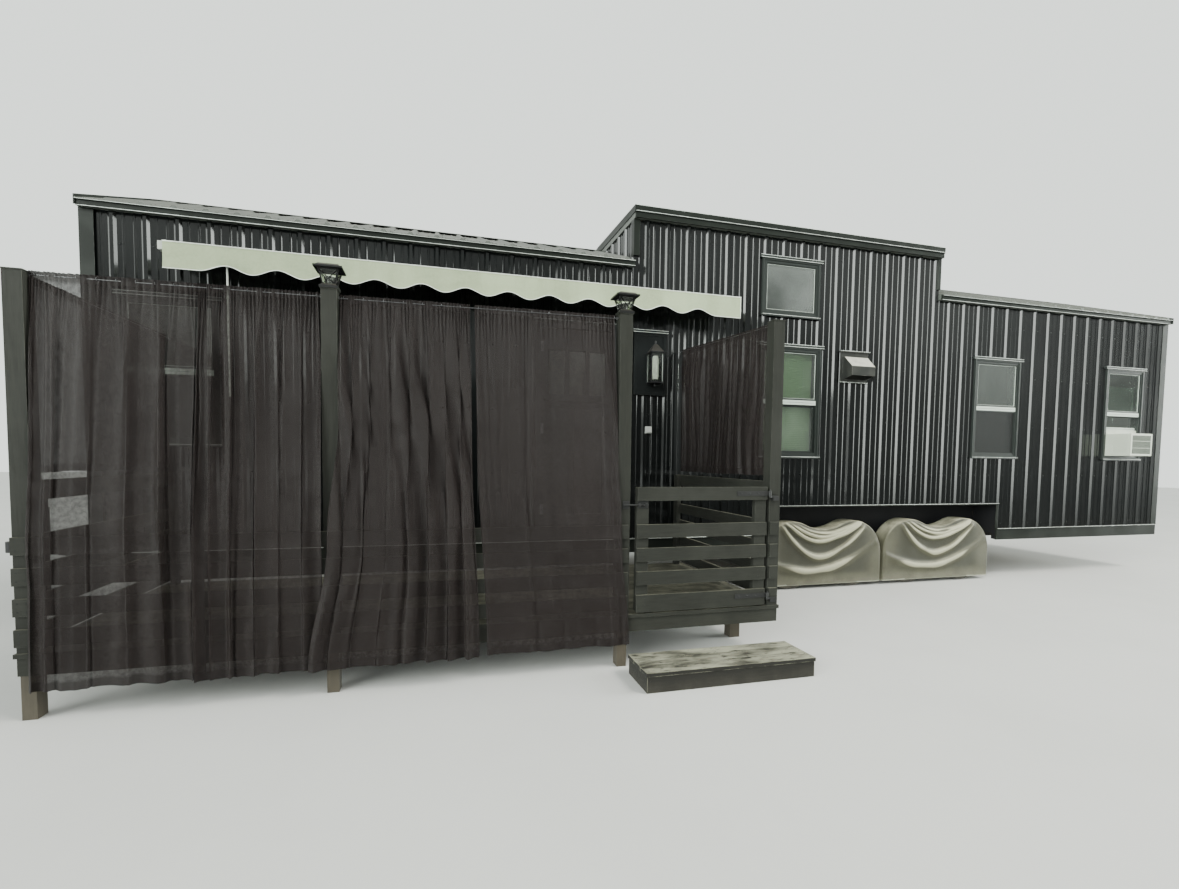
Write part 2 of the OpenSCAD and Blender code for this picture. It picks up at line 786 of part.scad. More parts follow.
module awning_case() {
    x0 = awn_x0 + 10;
    x1 = awn_x1 - 10;
    color("#d5d8d2") placed() {
        block([x0, -48, awn_z - 60], [x1, -8, awn_z - 20]);
        bar_x(x0 + 30, x1 - 30, -110, awn_z - 40, 48);
        run_x(awn_x0 - bar_end, x1, [[awn_y + 3, awn_z - 60], [awn_y + 60, awn_z - 60], [awn_y + 60, awn_z - 14],
            [awn_y + 30, awn_z + 4], [awn_y + 3, awn_z + 4]]);
        for (x = [x0, x1 - 14])
            block([x, awn_y + 3, awn_z - 78], [x + 14, -8, awn_z + 12]);
        for (x = [x0 + 500, (x0 + x1) / 2, x1 - 500])
            block([x - 40, -60, awn_z - 100], [x + 40, crest_y, awn_z]);
        for (s = [0, 1]) {
            a = x0 + 620 + s * (x1 - x0 - 1240);
            b = (x0 + x1) / 2 + (s * 2 - 1) * 160;
            block([min(a, b), -190, awn_z - 66], [max(a, b), -166, awn_z - 30]);
            block([min(a, b), -226, awn_z - 62], [max(a, b), -200, awn_z - 34]);
            bar_z(awn_z - 76, awn_z - 24, b, -196, 34);
            block([a - 26, -200, awn_z - 78], [a + 26, -40, awn_z - 22]);
            block([a - 26, awn_y + 50, awn_z - 66], [a + 26, -198, awn_z - 30]);
        }
        bar_z(awn_z - 1170, awn_z - 130, awn_x0 + 430, -272, 7);
        bar_z(awn_z - 150, awn_z - 55, awn_x0 + 430, -272, 12);
    }
}

// the scalloped edge is drawn flat and hangs from the front bar; it runs straight at both ends
plain_left = 243;
plain_right = 277;
scallop = (awn_x1 - plain_right - awn_x0 - plain_left) / scallops;
scallop_steps = 8;
awn_low = awn_z + 8 - awn_drop;
function scallop_z(t) = awn_low + scallop_h * (1 - cos(360 * t)) / 2;
function scallop_point(i) = [awn_x0 + plain_left + scallop * i / scallop_steps, scallop_z(i / scallop_steps)];
function scallop_line() = concat([[awn_x1, awn_low]], [for (i = [scallops * scallop_steps:-1:0]) scallop_point(i)],
    [[awn_x0, awn_low]]);

module awning_valance() {
    color("#c3c9bd") placed()
        run_y(awn_y - 1, awn_y + 3, concat([[awn_x0, awn_z + 8], [awn_x1, awn_z + 8]], scallop_line()));
}

// long beams: two main rails under the cross members and the side beams at their ends
module frame_rails() {
    color("#1d1f20") placed() {
        for (y = [rail_y, rear - rail_y - rail_w])
            block([back_y + 2, y, frame_z0], [house_l - back_y - 2, y + rail_w, cross_z]);
        for (y = [back_y + 1, rear - back_y - 1 - beam_w], x = [[back_y + 2, well_x0 - 2], [well_x1 + 2, house_l - back_y - 2]])
            block([x[0], y, frame_z0 + 20], [x[1], y + beam_w, floor_z]);
    }
}

module cross_members() {
    step = (house_l - 2 * back_y - 104) / 10;
    color("#1d1f20") placed() for (i = [0:10]) {
        x = back_y + 2 + i * step;
        y = x + 100 > well_x0 && x < well_x1 ? well_y + 2 : back_y + 1 + beam_w;
        block([x, y, cross_z], [x + 100, rear - y, floor_z]);
    }
}

module axles() {
    color("#1d1f20") placed() for (i = [0:wheel_n - 1])
        bar_y(tyre_y + tyre_w + 4, rear - tyre_y - tyre_w - 4, axle_x + i * axle_pitch, axle_z, axle_r);
}

module springs() {
    color("#1d1f20") placed() for (i = [0:wheel_n - 1], y = [rail_y + 20, rear - rail_y - rail_w + 20]) {
        x = axle_x + i * axle_pitch;
        difference() {
            union() {
                block([x - 45, y, axle_z + 20], [x + 45, y + 60, frame_z0]);
                block([x - 330, y + 5, axle_z + 42], [x + 330, y + 55, axle_z + 60]);
            }
            bar_y(y - 1, y + 61, x, axle_z, axle_r);
        }
    }
}

module tongue() {
    z0 = frame_z0;
    z1 = frame_z0 + 102;
    w = 76;
    coupler_l = 320;
    tip_x = -tongue_reach + coupler_l;
    jack_z = z1 + 420;
    crank_x = tip_x + 135;
    color("#1d1f20") placed() {
        for (s = [-1, 1]) {
            y0 = ridge_y + s * (ridge_y - rail_y - w);
            y1 = ridge_y + s * 42;
            translate([0, 0, z0]) linear_extrude(z1 - z0) polygon([[back_y + 2 - e, y0], [back_y + 2 - e, y0 + s * w],
                [tip_x, y1 + s * w], [tip_x, y1]]);
        }
        block([tip_x - 60, ridge_y - 118, z0], [tip_x + 30, ridge_y + 118, z1]);
        difference() {
            union() {
                block([-tongue_reach + 55, ridge_y - 45, z0 + 10], [tip_x - 50, ridge_y + 45, z1 - 12]);
                bar_z(z0 - 6, z1 - 4, -tongue_reach + 62, ridge_y, 62);
            }
            bar_z(z0 - 10, z0 + 46, -tongue_reach + 62, ridge_y, 31);
        }
        block([tip_x - 40, ridge_y - 70, z1], [tip_x + 30, ridge_y + 70, z1 + 12]);
        bar_z(12, jack_z, tip_x - 5, ridge_y, 29);
        bar_z(z1 + 10, jack_z - 90, tip_x - 5, ridge_y, 38);
        translate([tip_x - 105, ridge_y - 100, 0]) cube([200, 200, 14]);
        bar_z(jack_z - 20, jack_z + 30, tip_x - 5, ridge_y, 12);
        bar_x(tip_x - 5, crank_x, ridge_y, jack_z + 16, 9);
        bar_z(jack_z + 7, jack_z + 100, crank_x, ridge_y, 11);
    }
}

module at_wheels() {
    for (i = [0:wheel_n - 1], s = [0, 1])
        translate([axle_x + i * axle_pitch, s * house_w, axle_z]) mirror([0, s, 0])
            translate([0, tyre_y, 0]) rotate([-90, 0, 0]) children();
}

module wheel_rims() {
    color("#8d9090") placed() at_wheels() difference() {
        union() {
            rotate_extrude() polygon([[0, 36], [60, 36], [70, 56], [150, 62], [176, 20], [190, 12], [rim_r - 1, 12],
                [rim_r - 1, 24], [188, 40], [188, tyre_w - 24], [rim_r - 1, tyre_w - 12], [rim_r - 10, tyre_w - 12],
                [176, tyre_w - 26], [176, 74], [60, 74], [60, tyre_w + 4], [0, tyre_w + 4]]);
            translate([0, 0, 12]) cylinder(h = 30, r = 42);
        }
        for (a = [0:45:359])
            rotate([0, 0, a]) translate([118, 0, 40]) cylinder(h = 60, r = 17);
    }
}

module tyres() {
    color("#1b1c1c") placed() at_wheels() rotate_extrude($fn = 72) polygon([[rim_r, 10], [214, 2], [300, 0],
        [tyre_r - 26, 14], [tyre_r - 8, 26], [tyre_r, 42], [tyre_r, 80], [tyre_r - 9, 82], [tyre_r - 9, 90], [tyre_r, 92],
        [tyre_r, tyre_w - 92], [tyre_r - 9, tyre_w - 90], [tyre_r - 9, tyre_w - 82], [tyre_r, tyre_w - 80],
        [tyre_r, tyre_w - 42], [tyre_r - 8, tyre_w - 26], [tyre_r - 26, tyre_w - 14], [300, tyre_w], [214, tyre_w - 2],
        [rim_r, tyre_w - 10]]);
}

module wheel_boxes() {
    color("#17191a") placed() both_sides() {
        block([well_x0, back_y, well_z - plate], [well_x1, well_y, well_z]);
        block([well_x0, well_y - plate, frame_z0 + 90], [well_x1, well_y, well_z - plate - e]);
        for (x = [well_x0, well_x1 - plate])
            block([x, back_y, frame_z0 + 90], [x + plate, well_y - plate - e, well_z - plate - e]);
    }
}

// outline of one fabric cover over a pair of wheels, grown by g
module pair_outline(x, g) {
    saddle = 680 - axle_z;
    half = axle_pitch / 2;
    for (s = [0, 1])
        translate([x + s * axle_pitch, 0]) circle(r = tyre_r + g, $fn = 96);
    polygon([[x, -axle_z + cover_bottom], [x + axle_pitch, -axle_z + cover_bottom],
        [x + axle_pitch + (tyre_r + g) * 0.36, (tyre_r + g) * 0.9], [x + half + 110, saddle + g],
        [x + half - 110, saddle + g], [x - (tyre_r + g) * 0.36, (tyre_r + g) * 0.9]]);
}

module cover(x) {
    y0 = tyre_y - cover_gap - cover_t;
    translate([0, y0 + 200, axle_z]) rotate([90, 0, 0]) difference() {
        linear_extrude(200) pair_outline(x, cover_gap + cover_t);
        translate([0, 0, -1]) linear_extrude(201 - cover_t) pair_outline(x, cover_gap);
        translate([x - far / 2, -far - axle_z + cover_bottom, -10]) cube([far, far, 300]);
    }
}

module tyre_covers() {
    color("#6d7468") placed() both_sides()
        for (i = [0, 2]) cover(axle_x + i * axle_pitch);
}

function joist_x(i) = deck_x0 + i * (deck_x1 - deck_x0 - rim_t) / joists;

module deck_frame() {
    z1 = deck_z - board_t;
    color("#26292a") placed() {
        block([deck_x0, front_y, rim_z0], [deck_x1, front_y + rim_t, z1]);
        block([deck_x0, deck_back - rim_t, rim_z0], [deck_x1, deck_back, z1]);
        for (i = [0:joists])
            block([joist_x(i), front_y + rim_t, rim_z0], [joist_x(i) + rim_t, deck_back - rim_t, z1]);
        block([post_4 - rim_t, front_y + rim_t, rim_z0], [post_4, deck_back - rim_t, z1]);
    }
}

module deck_boards() {
    y0 = front_y - 12;
    n = 12;
    w = (deck_back - y0) / n;
    z1 = deck_z;
    color("#3a3d3b") placed() difference() {
        block([deck_x0 - 10, y0, deck_z - board_t], [deck_x1 + 10, deck_back, z1]);
        for (i = [1:n - 1])
            block([deck_x0 - 50, y0 + i * w - 3, z1 - 8], [deck_x1 + 50, y0 + i * w + 3, z1 + 1]);
    }
}

module deck_feet() {
    color("#a08a66") placed() {
        for (x = [post_1, post_2, post_3])
            block([x + 10, front_y + 5, 0], [x + post - 10, post_y1, rim_z0]);
        block([post_4 - 70, -1330, 0], [post_4 + 19, -1241, rim_z0]);
        for (x = [post_1 + 10, joist_x(6) - 25, post_4])
            block([x, deck_back - 130, 0], [x + post, deck_back - 41, rim_z0]);
    }
}

module deck_posts() {
    tops = [[post_1, post_z - post_1_drop], [post_2, post_z], [post_3, post_z], [post_4, post_z + post_4_rise]];
    color("#2c3031") placed() for (t = tops) {
        x = t[0];
        z = t[1];
        block([x, front_y, deck_z], [x + post, post_y1, z]);
        block([x - 4, front_y - 4, z], [x + post + 4, post_y1 + 4, z + cap_t]);
    }
}

module front_railing() {
    color("#2c3031") placed() for (i = [0:slats - 1]) {
        z = slat_z - i * slat_pitch;
        block([post_1, slat_y, z - slat_h], [post_3 + post - 14, front_y, z]);
    }
}

// side railings: slats from the corner post to the house, with one post stub at the wall
module side_railing(x0, x1) {
    y0 = post_y1;
    y1 = deck_back - 10;
    block([x0, y1 - 89, deck_z], [x0 + 38 - e, y1, slat_z + 300]);
    for (i = [0:slats - 1]) {
        z = slat_z - i * slat_pitch;
        block([x0 + 38, y0, z - slat_h], [x0 + 57, y1, z]);
    }
    block([x0 + 38, y0, slat_z + 190], [x0 + 57, y1, slat_z + 300]);
}

module side_railings() {
    color("#2c3031") placed() {
        side_railing(post_4, post_4 + post);
        for (i = [0:slats - 1]) {
            z = slat_z - i * slat_pitch;
            block([post_4 + 4, slat_y, z - slat_h], [post_4 + post - 14, front_y, z]);
        }
        translate([2 * post_1 + post, 0, 0]) mirror([1, 0, 0]) side_railing(post_1, post_1 + post);
    }
}

module box_step() {
    color("#33372f") placed() {
        difference() {
            block([step_x0 + 6, step_y0 + 6, 0], [step_x1 - 6, step_y1 - 6, step_z - 24]);
            block([step_x0 + 44, step_y0 + 44, -1], [step_x1 - 44, step_y1 - 44, step_z]);
        }
        for (i = [0:2])
            block([step_x0, step_y0 + i * (step_y1 - step_y0 + 4) / 3, step_z - 24],
                [step_x1, step_y0 + (i + 1) * (step_y1 - step_y0 + 4) / 3 - 4, step_z]);
    }
}

// a block whose sides widen from r0 at z0 to r1 at z1
module frustum(x, y, r0, r1, z0, z1) {
    r = max(r0, r1);
    intersection() {
        run_x(x - r, x + r, [[y - r0, z0], [y + r0, z0], [y + r1, z1], [y - r1, z1]]);
        run_y(y - r, y + r, [[x - r0, z0], [x + r0, z0], [x + r1, z1], [x - r1, z1]]);
    }
}

// garden lanterns on the two middle posts
module post_lantern(x) {
    y = front_y + post / 2;
    z = post_z + cap_t;
    z1 = z + 26;
    z2 = z + 112;
    foot = 38;
    head = 60;
    strut = 8;
    inner = [foot - strut, head - strut];
    side = [[-inner[0], z1], [inner[0], z1], [inner[1], z2 - 6], [-inner[1], z2 - 6]];
    block([x - 52, y - 52, z], [x + 52, y + 52, z + 14]);
    pyramid(x, y, 46, foot, z + 14, z1);
    difference() {
        union() {
            frustum(x, y, foot, head, z1, z2);
            translate([x, y, z1 - 2]) cylinder(h = 50, r = 15);
        }
        difference() {
            frustum(x, y, inner[0], inner[1], z1, z2 + 1);
            translate([x, y, z1 - 3]) cylinder(h = 51, r = 15);
        }
        run_x(x - 100, x - 16, [for (p = side) p + [y, 0]]);
        run_x(x + 16, x + 100, [for (p = side) p + [y, 0]]);
        run_y(y - 100, y - 16, [for (p = side) p + [x, 0]]);
        run_y(y + 16, y + 100, [for (p = side) p + [x, 0]]);
    }
    block([x - 80, y - 80, z2], [x + 80, y + 80, z2 + 10]);
    pyramid(x, y, 72, 54, z2 + 10, z2 + 26);
}

module post_lanterns() {
    color("#191b1c") placed() {
        post_lantern(post_2 + post / 2);
        post_lantern(post_3 + post / 2);
    }
}

// a straight taut wire between two points
module wire(p, q) {
    d = q - p;
    h = norm(d);
    translate(p) rotate([0, acos(d[2] / h), atan2(d[1], d[0])]) cylinder(h = h, r = wire_r, $fn = 16);
}

wall_hook_y = flat_y - low_rib_h;
// side wires: place, height at the post and height at the wall
right_wire = [post_4 + post / 2, post_z + 30, post_z + 135];
left_wire = [post_1 + post / 2, post_z - post_1_drop - 4, post_z - 34];
function side_z(w, y) = w[1] + (w[2] - w[1]) * (y - post_y1) / (wall_hook_y - post_y1);
wire_ends = [[post_1 + post, post_2, -2, 8], [post_2 + post, post_3, 5, 20]];

module curtain_wires() {
    color("#3b3f40") placed() {
        for (w = wire_ends)
            wire([w[0], wire_y, wire_z + w[2]], [w[1], wire_y, wire_z + w[3]]);
        for (w = [right_wire, left_wire]) {
            wire([w[0], post_y1, w[1]], [w[0], wall_hook_y - 12, side_z(w, wall_hook_y - 12)]);
            bar_y(wall_hook_y - 16, wall_hook_y - e, w[0], w[2] - 2, 7);
        }
    }
}

// a hanging curtain as a plain sheet; it drapes outward over the slats, and left and right are its edges as [x, z] points
curtain_t = 8;
curtain_bottom = 170;
fold_z = slat_z + 30;
// the cloth passes in front of the posts' faces below this height
clear_z = fold_z + 500;

module front_curtain(left, right, z, out) {
    t = curtain_t;
    y0 = wire_y + t / 2;
    y1 = slat_y - 14 - out;
    z1 = z - wire_r - e;
    intersection() {
        run_x(left[0][0] - 400, right[0][0] + 400, [[y0, z1], [y0 - t, z1], [y1 - t, fold_z], [y1 - t, curtain_bottom],
            [y1, curtain_bottom], [y1, fold_z - 4]]);
        run_y(y1 - 100, y0 + 100, concat(left, right));
    }
}

module front_curtains() {
    // the two curtains of the second bay meet left of its middle and swing out towards their lower corners
    meet = (post_2 + post + post_3) / 2 - 96;
    top = post_z + 100;
    swing_z = slat_z - 60;
    low = curtain_bottom - 10;
    z = wire_z + wire_ends[1][2];
    mid_z = z + (meet - post_2) / (post_3 - post_2) * (wire_ends[1][3] - wire_ends[1][2]);
    color("#2a282c") placed() {
        front_curtain([[post_1 + 79, low], [post_1 + 79, swing_z], [post_1 + post + 2, clear_z], [post_1 + post + 2, top]],
            [[post_2 - 2, top], [post_2 - 2, low]], wire_z + wire_ends[0][2], 0);
        front_curtain([[post_2 - 82, low], [post_2 + 33, swing_z], [post_2 + post + 2, clear_z], [post_2 + post + 2, top]],
            [[meet - 14, top], [meet + 38, low]], z, 12);
        front_curtain([[meet + 92, low], [meet + 14, top]],
            [[post_3 - 30, top], [post_3 - 4, clear_z], [post_3 + 18, swing_z], [post_3 + 85, low]], mid_z, 0);
    }
}

module side_curtain(w) {
    z1 = slat_z + 340;
    ya = post_y1 + 6;
    yb = deck_back - 60;
    drop = wire_r + 2 * e;
    run_x(w[0] - curtain_t / 2, w[0] + curtain_t / 2, [[ya, z1], [ya, side_z(w, ya) - drop], [yb, side_z(w, yb) - drop],
        [yb, z1]]);
}

module side_curtains() {
    color("#2a282c") placed() {
        side_curtain(right_wire);
        side_curtain(left_wire);
    }
}

// fixed halves of the hinges on the fourth post, and the plate that the bolt closes over on the third
module gate_fittings() {
    color("#141516") placed() {
        for (i = [0, 1]) {
            z1 = strap_z[i] - barrel_h / 2 - 1;
            block([post_4 + 10, hinge_y - 5, z1 - 34], [post_4 + 58, i == 0 ? front_y : slat_y, z1]);
            block([hinge_x, hinge_y - 5, z1 - 12], [post_4 + 12, hinge_y + 5, z1]);
            bar_z(z1 - 12, z1, hinge_x, hinge_y, barrel_r);
            bar_z(z1 - 1, strap_z[i] + barrel_h / 2 + 10, hinge_x, hinge_y, pin_r);
        }
        block([post_3 + post - 56, front_y - 4, bolt_z - 26], [post_3 + post - 4, front_y, bolt_z + 26]);
    }
}

module gate() {
    color("#2c3031") placed() {
        for (x = [gate_x0, gate_x1 - stile_w])
            block([x, stile_y, slat_low - 20], [x + stile_w, stile_y + stile_t, gate_z - 2]);
        block([gate_x0, slat_y, gate_z - slat_h], [gate_x1, stile_y, gate_z]);
        for (i = [0:slats - 1]) {
            z = slat_z - i * slat_pitch;
            drop = i == slats - 1 ? 26 : 0;
            block([gate_x0, slat_y, z - slat_h - drop], [gate_x1, stile_y, z]);
        }
    }
}

module gate_straps() {
    color("#141516") placed() for (z = strap_z) difference() {
        union() {
            block([gate_x1 - 250, slat_y - 4, z - 16], [hinge_x, slat_y, z + 16]);
            bar_z(z - barrel_h / 2, z + barrel_h / 2, hinge_x, hinge_y, barrel_r);
        }
        bar_z(z - 50, z + 50, hinge_x, hinge_y, pin_r + pin_clear);
    }
}

// a barrel bolt on the gate whose bar reaches across the gap, clear of the plate on the post
module gate_bolt() {
    y = front_y - 4 - 5 - bolt_r;
    color("#141516") placed() {
        block([gate_x0 + 4, front_y - 4, bolt_z - 24], [gate_x0 + stile_w - 6, front_y, bolt_z + 24]);
        for (x = [gate_x0 + 8, gate_x0 + 58])
            block([x, y - bolt_r - 4, bolt_z - 11], [x + 14, front_y - 3, bolt_z + 11]);
        bar_x(post_3 + post - 50, gate_x0 + stile_w - 8, y, bolt_z, bolt_r);
        bar_y(y - bolt_r - 22, y, gate_x0 + 40, bolt_z, 5);
    }
}

house_floor();
front_wall();
rear_wall();
end_walls();
front_siding();
rear_siding();
end_siding();
left_roof();
middle_roof();
right_roof();
raised_cheeks();
roof_trim();
eave_trim();
corner_trim();
base_trim();
window_frames();
window_glass();
window_blind();
entry_door();
vent_hood();
lantern_board();
outlet_cover();
wall_lantern();
lantern_glass();
air_conditioner();
awning_case();
awning_valance();
frame_rails();
cross_members();
axles();
springs();
tongue();
wheel_rims();
tyres();
wheel_boxes();
tyre_covers();
deck_frame();
deck_boards();
deck_feet();
deck_posts();
front_railing();
side_railings();
box_step();
post_lanterns();
curtain_wires();
front_curtains();
side_curtains();
gate_fittings();
gate();
gate_straps();
gate_bolt();
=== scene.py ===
import json
import math

import bmesh
import bpy
from mathutils import Matrix, Vector, noise


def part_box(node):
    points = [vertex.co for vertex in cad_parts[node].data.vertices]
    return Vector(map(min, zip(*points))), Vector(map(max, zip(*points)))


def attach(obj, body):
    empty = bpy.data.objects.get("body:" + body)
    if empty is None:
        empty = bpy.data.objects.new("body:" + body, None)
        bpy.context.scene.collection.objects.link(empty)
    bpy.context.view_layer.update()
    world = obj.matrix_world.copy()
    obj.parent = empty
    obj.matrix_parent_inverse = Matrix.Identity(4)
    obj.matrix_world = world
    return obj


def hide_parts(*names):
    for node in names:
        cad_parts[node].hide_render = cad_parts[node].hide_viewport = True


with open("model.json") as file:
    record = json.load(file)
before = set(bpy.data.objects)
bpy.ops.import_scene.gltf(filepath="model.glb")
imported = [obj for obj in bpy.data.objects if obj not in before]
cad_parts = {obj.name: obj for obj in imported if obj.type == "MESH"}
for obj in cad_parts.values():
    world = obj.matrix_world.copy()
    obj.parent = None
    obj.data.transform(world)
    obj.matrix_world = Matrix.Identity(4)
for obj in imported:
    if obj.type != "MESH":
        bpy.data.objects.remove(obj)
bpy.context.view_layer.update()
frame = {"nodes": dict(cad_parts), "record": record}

HOUSE = "house"
GATE = "gate"
FRONT = Vector((0, -1, 0))
REAR = Vector((0, 1, 0))
LEFT = Vector((-1, 0, 0))
RIGHT = Vector((1, 0, 0))
UP = Vector((0, 0, 1))

# the ribbed sheets as they are in the part's source
SHEET_BACK = 0.022
RIB_FIRST = 0.2126
RIB_PITCH = 0.2286
FLAT_FACE = 0.019


# where things are

wall_low, wall_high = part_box("front_wall")
corner = wall_low - Vector((SHEET_BACK, SHEET_BACK, wall_low.z))
house_length = wall_high.x + SHEET_BACK - corner.x
house_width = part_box("rear_wall")[1].y + SHEET_BACK - corner.y


def at(x, y, z):
    """A point measured from the foot of the house's left front corner."""
    return corner + Vector((x, y, z))


def mirrored(point):
    """The same point on the rear side, which repeats the front."""
    return Vector((point.x, 2 * corner.y + house_width - point.y, point.z))


def rear_at(x, y, z):
    return mirrored(at(x, y, z))


def places(start, stop, step):
    """Places a step apart, from start up to stop."""
    while start < stop:
        yield start
        start += step


def solids(node):
    """Boxes of the separate solids of a CAD node, from left to right, each a low and a high corner."""
    bm = bmesh.new()
    bm.from_mesh(frame["nodes"][node].data)
    bmesh.ops.remove_doubles(bm, verts=bm.verts, dist=1e-5)
    left, boxes = set(bm.verts), []
    while left:
        heap, island = [left.pop()], []
        while heap:
            vert = heap.pop()
            island.append(vert.co.copy())
            for edge in vert.link_edges:
                other = edge.other_vert(vert)
                if other in left:
                    left.remove(other)
                    heap.append(other)
        boxes.append(tuple(Vector(pick(p[i] for p in island) for i in range(3)) for pick in (min, max)))
    bm.free()
    return sorted(boxes, key=lambda box: (round(box[0].x, 3), round(box[0].y, 3), box[0].z))


# shapes

def smooth_step(value, low=0.0, high=1.0):
    """0 at low and 1 at high, level at both."""
    t = min(1.0, max(0.0, (value - low) / (high - low)))
    return t * t * (3 - 2 * t)


def mix(a, b, share):
    """a at share 0 and b at share 1."""
    return a + (b - a) * share


def ruffle(x, y, seed):
    """Smooth noise from -1 to 1 that is the same in each run."""
    return noise.noise(Vector((x, y, seed * 7.31)))


def add_block(bm, low, high, bevel=0.0):
    """A block between two corners, with rounded arrises where a bevel is given."""
    size = high - low
    place = Matrix.Translation((low + high) / 2) @ Matrix.Diagonal((*size, 1))
    made = bmesh.ops.create_cube(bm, size=1, matrix=place)
    if bevel:
        edges = list(dict.fromkeys(edge for vert in made["verts"] for edge in vert.link_edges))
        bmesh.ops.bevel(bm, geom=edges, offset=bevel, segments=2, affect="EDGES", profile=0.5)


def add_rod(bm, start, end, radius, sides=12, end_radius=None):
    """A round bar or a cone between two points."""
    along = end - start
    last = radius if end_radius is None else end_radius
    place = Matrix.Translation((start + end) / 2) @ along.to_track_quat("Z", "Y").to_matrix().to_4x4()
    bmesh.ops.create_cone(bm, cap_ends=True, segments=sides, radius1=radius, radius2=last, depth=along.length,
                          matrix=place)


def join_rings(bm, one, two):
    """Faces between two rings of as many corners."""
    count = len(one)
    for k in range(count):
        after = (k + 1) % count
        bm.faces.new((one[k], one[after], two[after], two[k]))


def add_tube(bm, points, radius, sides=8, closed=False):
    """A round tube that follows a line of points."""
    rings = []
    count = len(points)
    side = None
    for i, point in enumerate(points):
        before = points[i - 1] if i or closed else point
        after = points[(i + 1) % count] if i + 1 < count or closed else point
        along = (after - before).normalized()
        if side is None:
            side = along.orthogonal().normalized()
        side = (side - along * side.dot(along)).normalized()
        across = along.cross(side)
        rings.append([bm.verts.new(point + radius * (math.cos(a) * side + math.sin(a) * across))
                      for a in (math.tau * k / sides for k in range(sides))])
    pairs = list(zip(rings, rings[1:])) + ([(rings[-1], rings[0])] if closed else [])
    for one, two in pairs:
        join_rings(bm, one, two)
    if not closed:
        bm.faces.new(rings[0])
        bm.faces.new(rings[-1])


def add_screw(bm, point, facing, radius=0.0045):
    """A hex-headed screw with a flanged washer."""
    add_rod(bm, point, point + facing * radius * 0.35, radius * 1.75, 12, radius * 1.5)
    add_rod(bm, point + facing * radius * 0.35, point + facing * radius * 1.1, radius, 6, radius * 0.92)


def add_flush_screw(bm, point, facing, radius=0.0042):
    """A nearly flush screw head with a small square in its middle."""
    add_rod(bm, point - facing * 0.001, point + facing * 0.0006, radius, 12, radius * 0.9)
    add_rod(bm, point + facing * 0.0004, point + facing * 0.0009, radius * 0.45, 4)


def add_grid(bm, columns, rows, place):
    """A sheet through place(u, v), with u across it and v down it, both from 0 to 1."""
    grid = [[bm.verts.new(place(c / columns, r / rows)) for c in range(columns + 1)] for r in range(rows + 1)]
    for above, below in zip(grid, grid[1:]):
        for c in range(columns):
            bm.faces.new((above[c], above[c + 1], below[c + 1], below[c]))
    return grid


def make_piece(name, bm, material, body=HOUSE, soft=False, facing=True):
    """Turns gathered geometry into a named piece that rides on a body."""
    if facing:
        bmesh.ops.recalc_face_normals(bm, faces=bm.faces)
    mesh = bpy.data.meshes.new(name)
    bm.to_mesh(mesh)
    bm.free()
    mesh.polygons.foreach_set("use_smooth", [soft] * len(mesh.polygons))
    mesh.materials.append(material)
    piece = bpy.data.objects.new(name, mesh)
    bpy.context.scene.collection.objects.link(piece)
    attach(piece, body)
    return piece


# shader groups shared by the finishes

def add_node(tree, kind, sockets=None, **settings):
    """A shader node with its settings, and with each named socket linked or set."""
    node = tree.nodes.new(kind)
    for key, value in settings.items():
        setattr(node, key, value)
    for key, value in (sockets or {}).items():
        if isinstance(value, bpy.types.NodeSocket):
            tree.links.new(value, node.inputs[key])
        else:
            node.inputs[key].default_value = value
    return node


def math_node(tree, operation, a, b=0.0, clamp=False):
    """The outcome of one sum on sockets or numbers."""
    return add_node(tree, "ShaderNodeMath", {0: a, 1: b}, operation=operation, use_clamp=clamp).outputs[0]


def multiply(tree, a, b):
    return math_node(tree, "MULTIPLY", a, b)


def ramp(tree, value, low, high, first=0.0, last=1.0):
    """value mapped smoothly from low..high to first..last."""
    sockets = {"Value": value, "From Min": low, "From Max": high, "To Min": first, "To Max": last}
    return add_node(tree, "ShaderNodeMapRange", sockets, interpolation_type="SMOOTHSTEP").outputs["Result"]


def blend(tree, mask, a, b):
    """The number a where mask is low, and b where it is high."""
    return add_node(tree, "ShaderNodeMix", {"Factor": mask, "A": a, "B": b}).outputs[0]


def cloud(tree, place, **sockets):
    """Noise over a place, with the noise node's own sockets."""
    return add_node(tree, "ShaderNodeTexNoise", {"Vector": place, **sockets}).outputs["Fac"]


def axis_of(tree, vector, axis):
    return add_node(tree, "ShaderNodeSeparateXYZ", {0: vector}).outputs[axis]


def object_place(tree):
    return tree.nodes.new("ShaderNodeTexCoord").outputs["Object"]


def face_normal(tree):
    return tree.nodes.new("ShaderNodeNewGeometry").outputs["Normal"]


def stretched_place(tree, stretch):
    """The place on the object, multiplied along each axis."""
    sockets = {0: object_place(tree), 1: stretch}
    return add_node(tree, "ShaderNodeVectorMath", sockets, operation="MULTIPLY").outputs[0]


def new_group(name, inputs, outputs):
    """A shader group with named inputs and outputs: its tree, and its sockets from inside."""
    tree = bpy.data.node_groups.new(name, "ShaderNodeTree")
    for title, value in inputs.items():
        kind = "NodeSocketVector" if isinstance(value, tuple) else "NodeSocketFloat"
        tree.interface.new_socket(title, in_out="INPUT", socket_type=kind).default_value = value
    for title in outputs:
        tree.interface.new_socket(title, in_out="OUTPUT", socket_type="NodeSocketFloat")
    return tree, tree.nodes.new("NodeGroupInput").outputs, tree.nodes.new("NodeGroupOutput").inputs


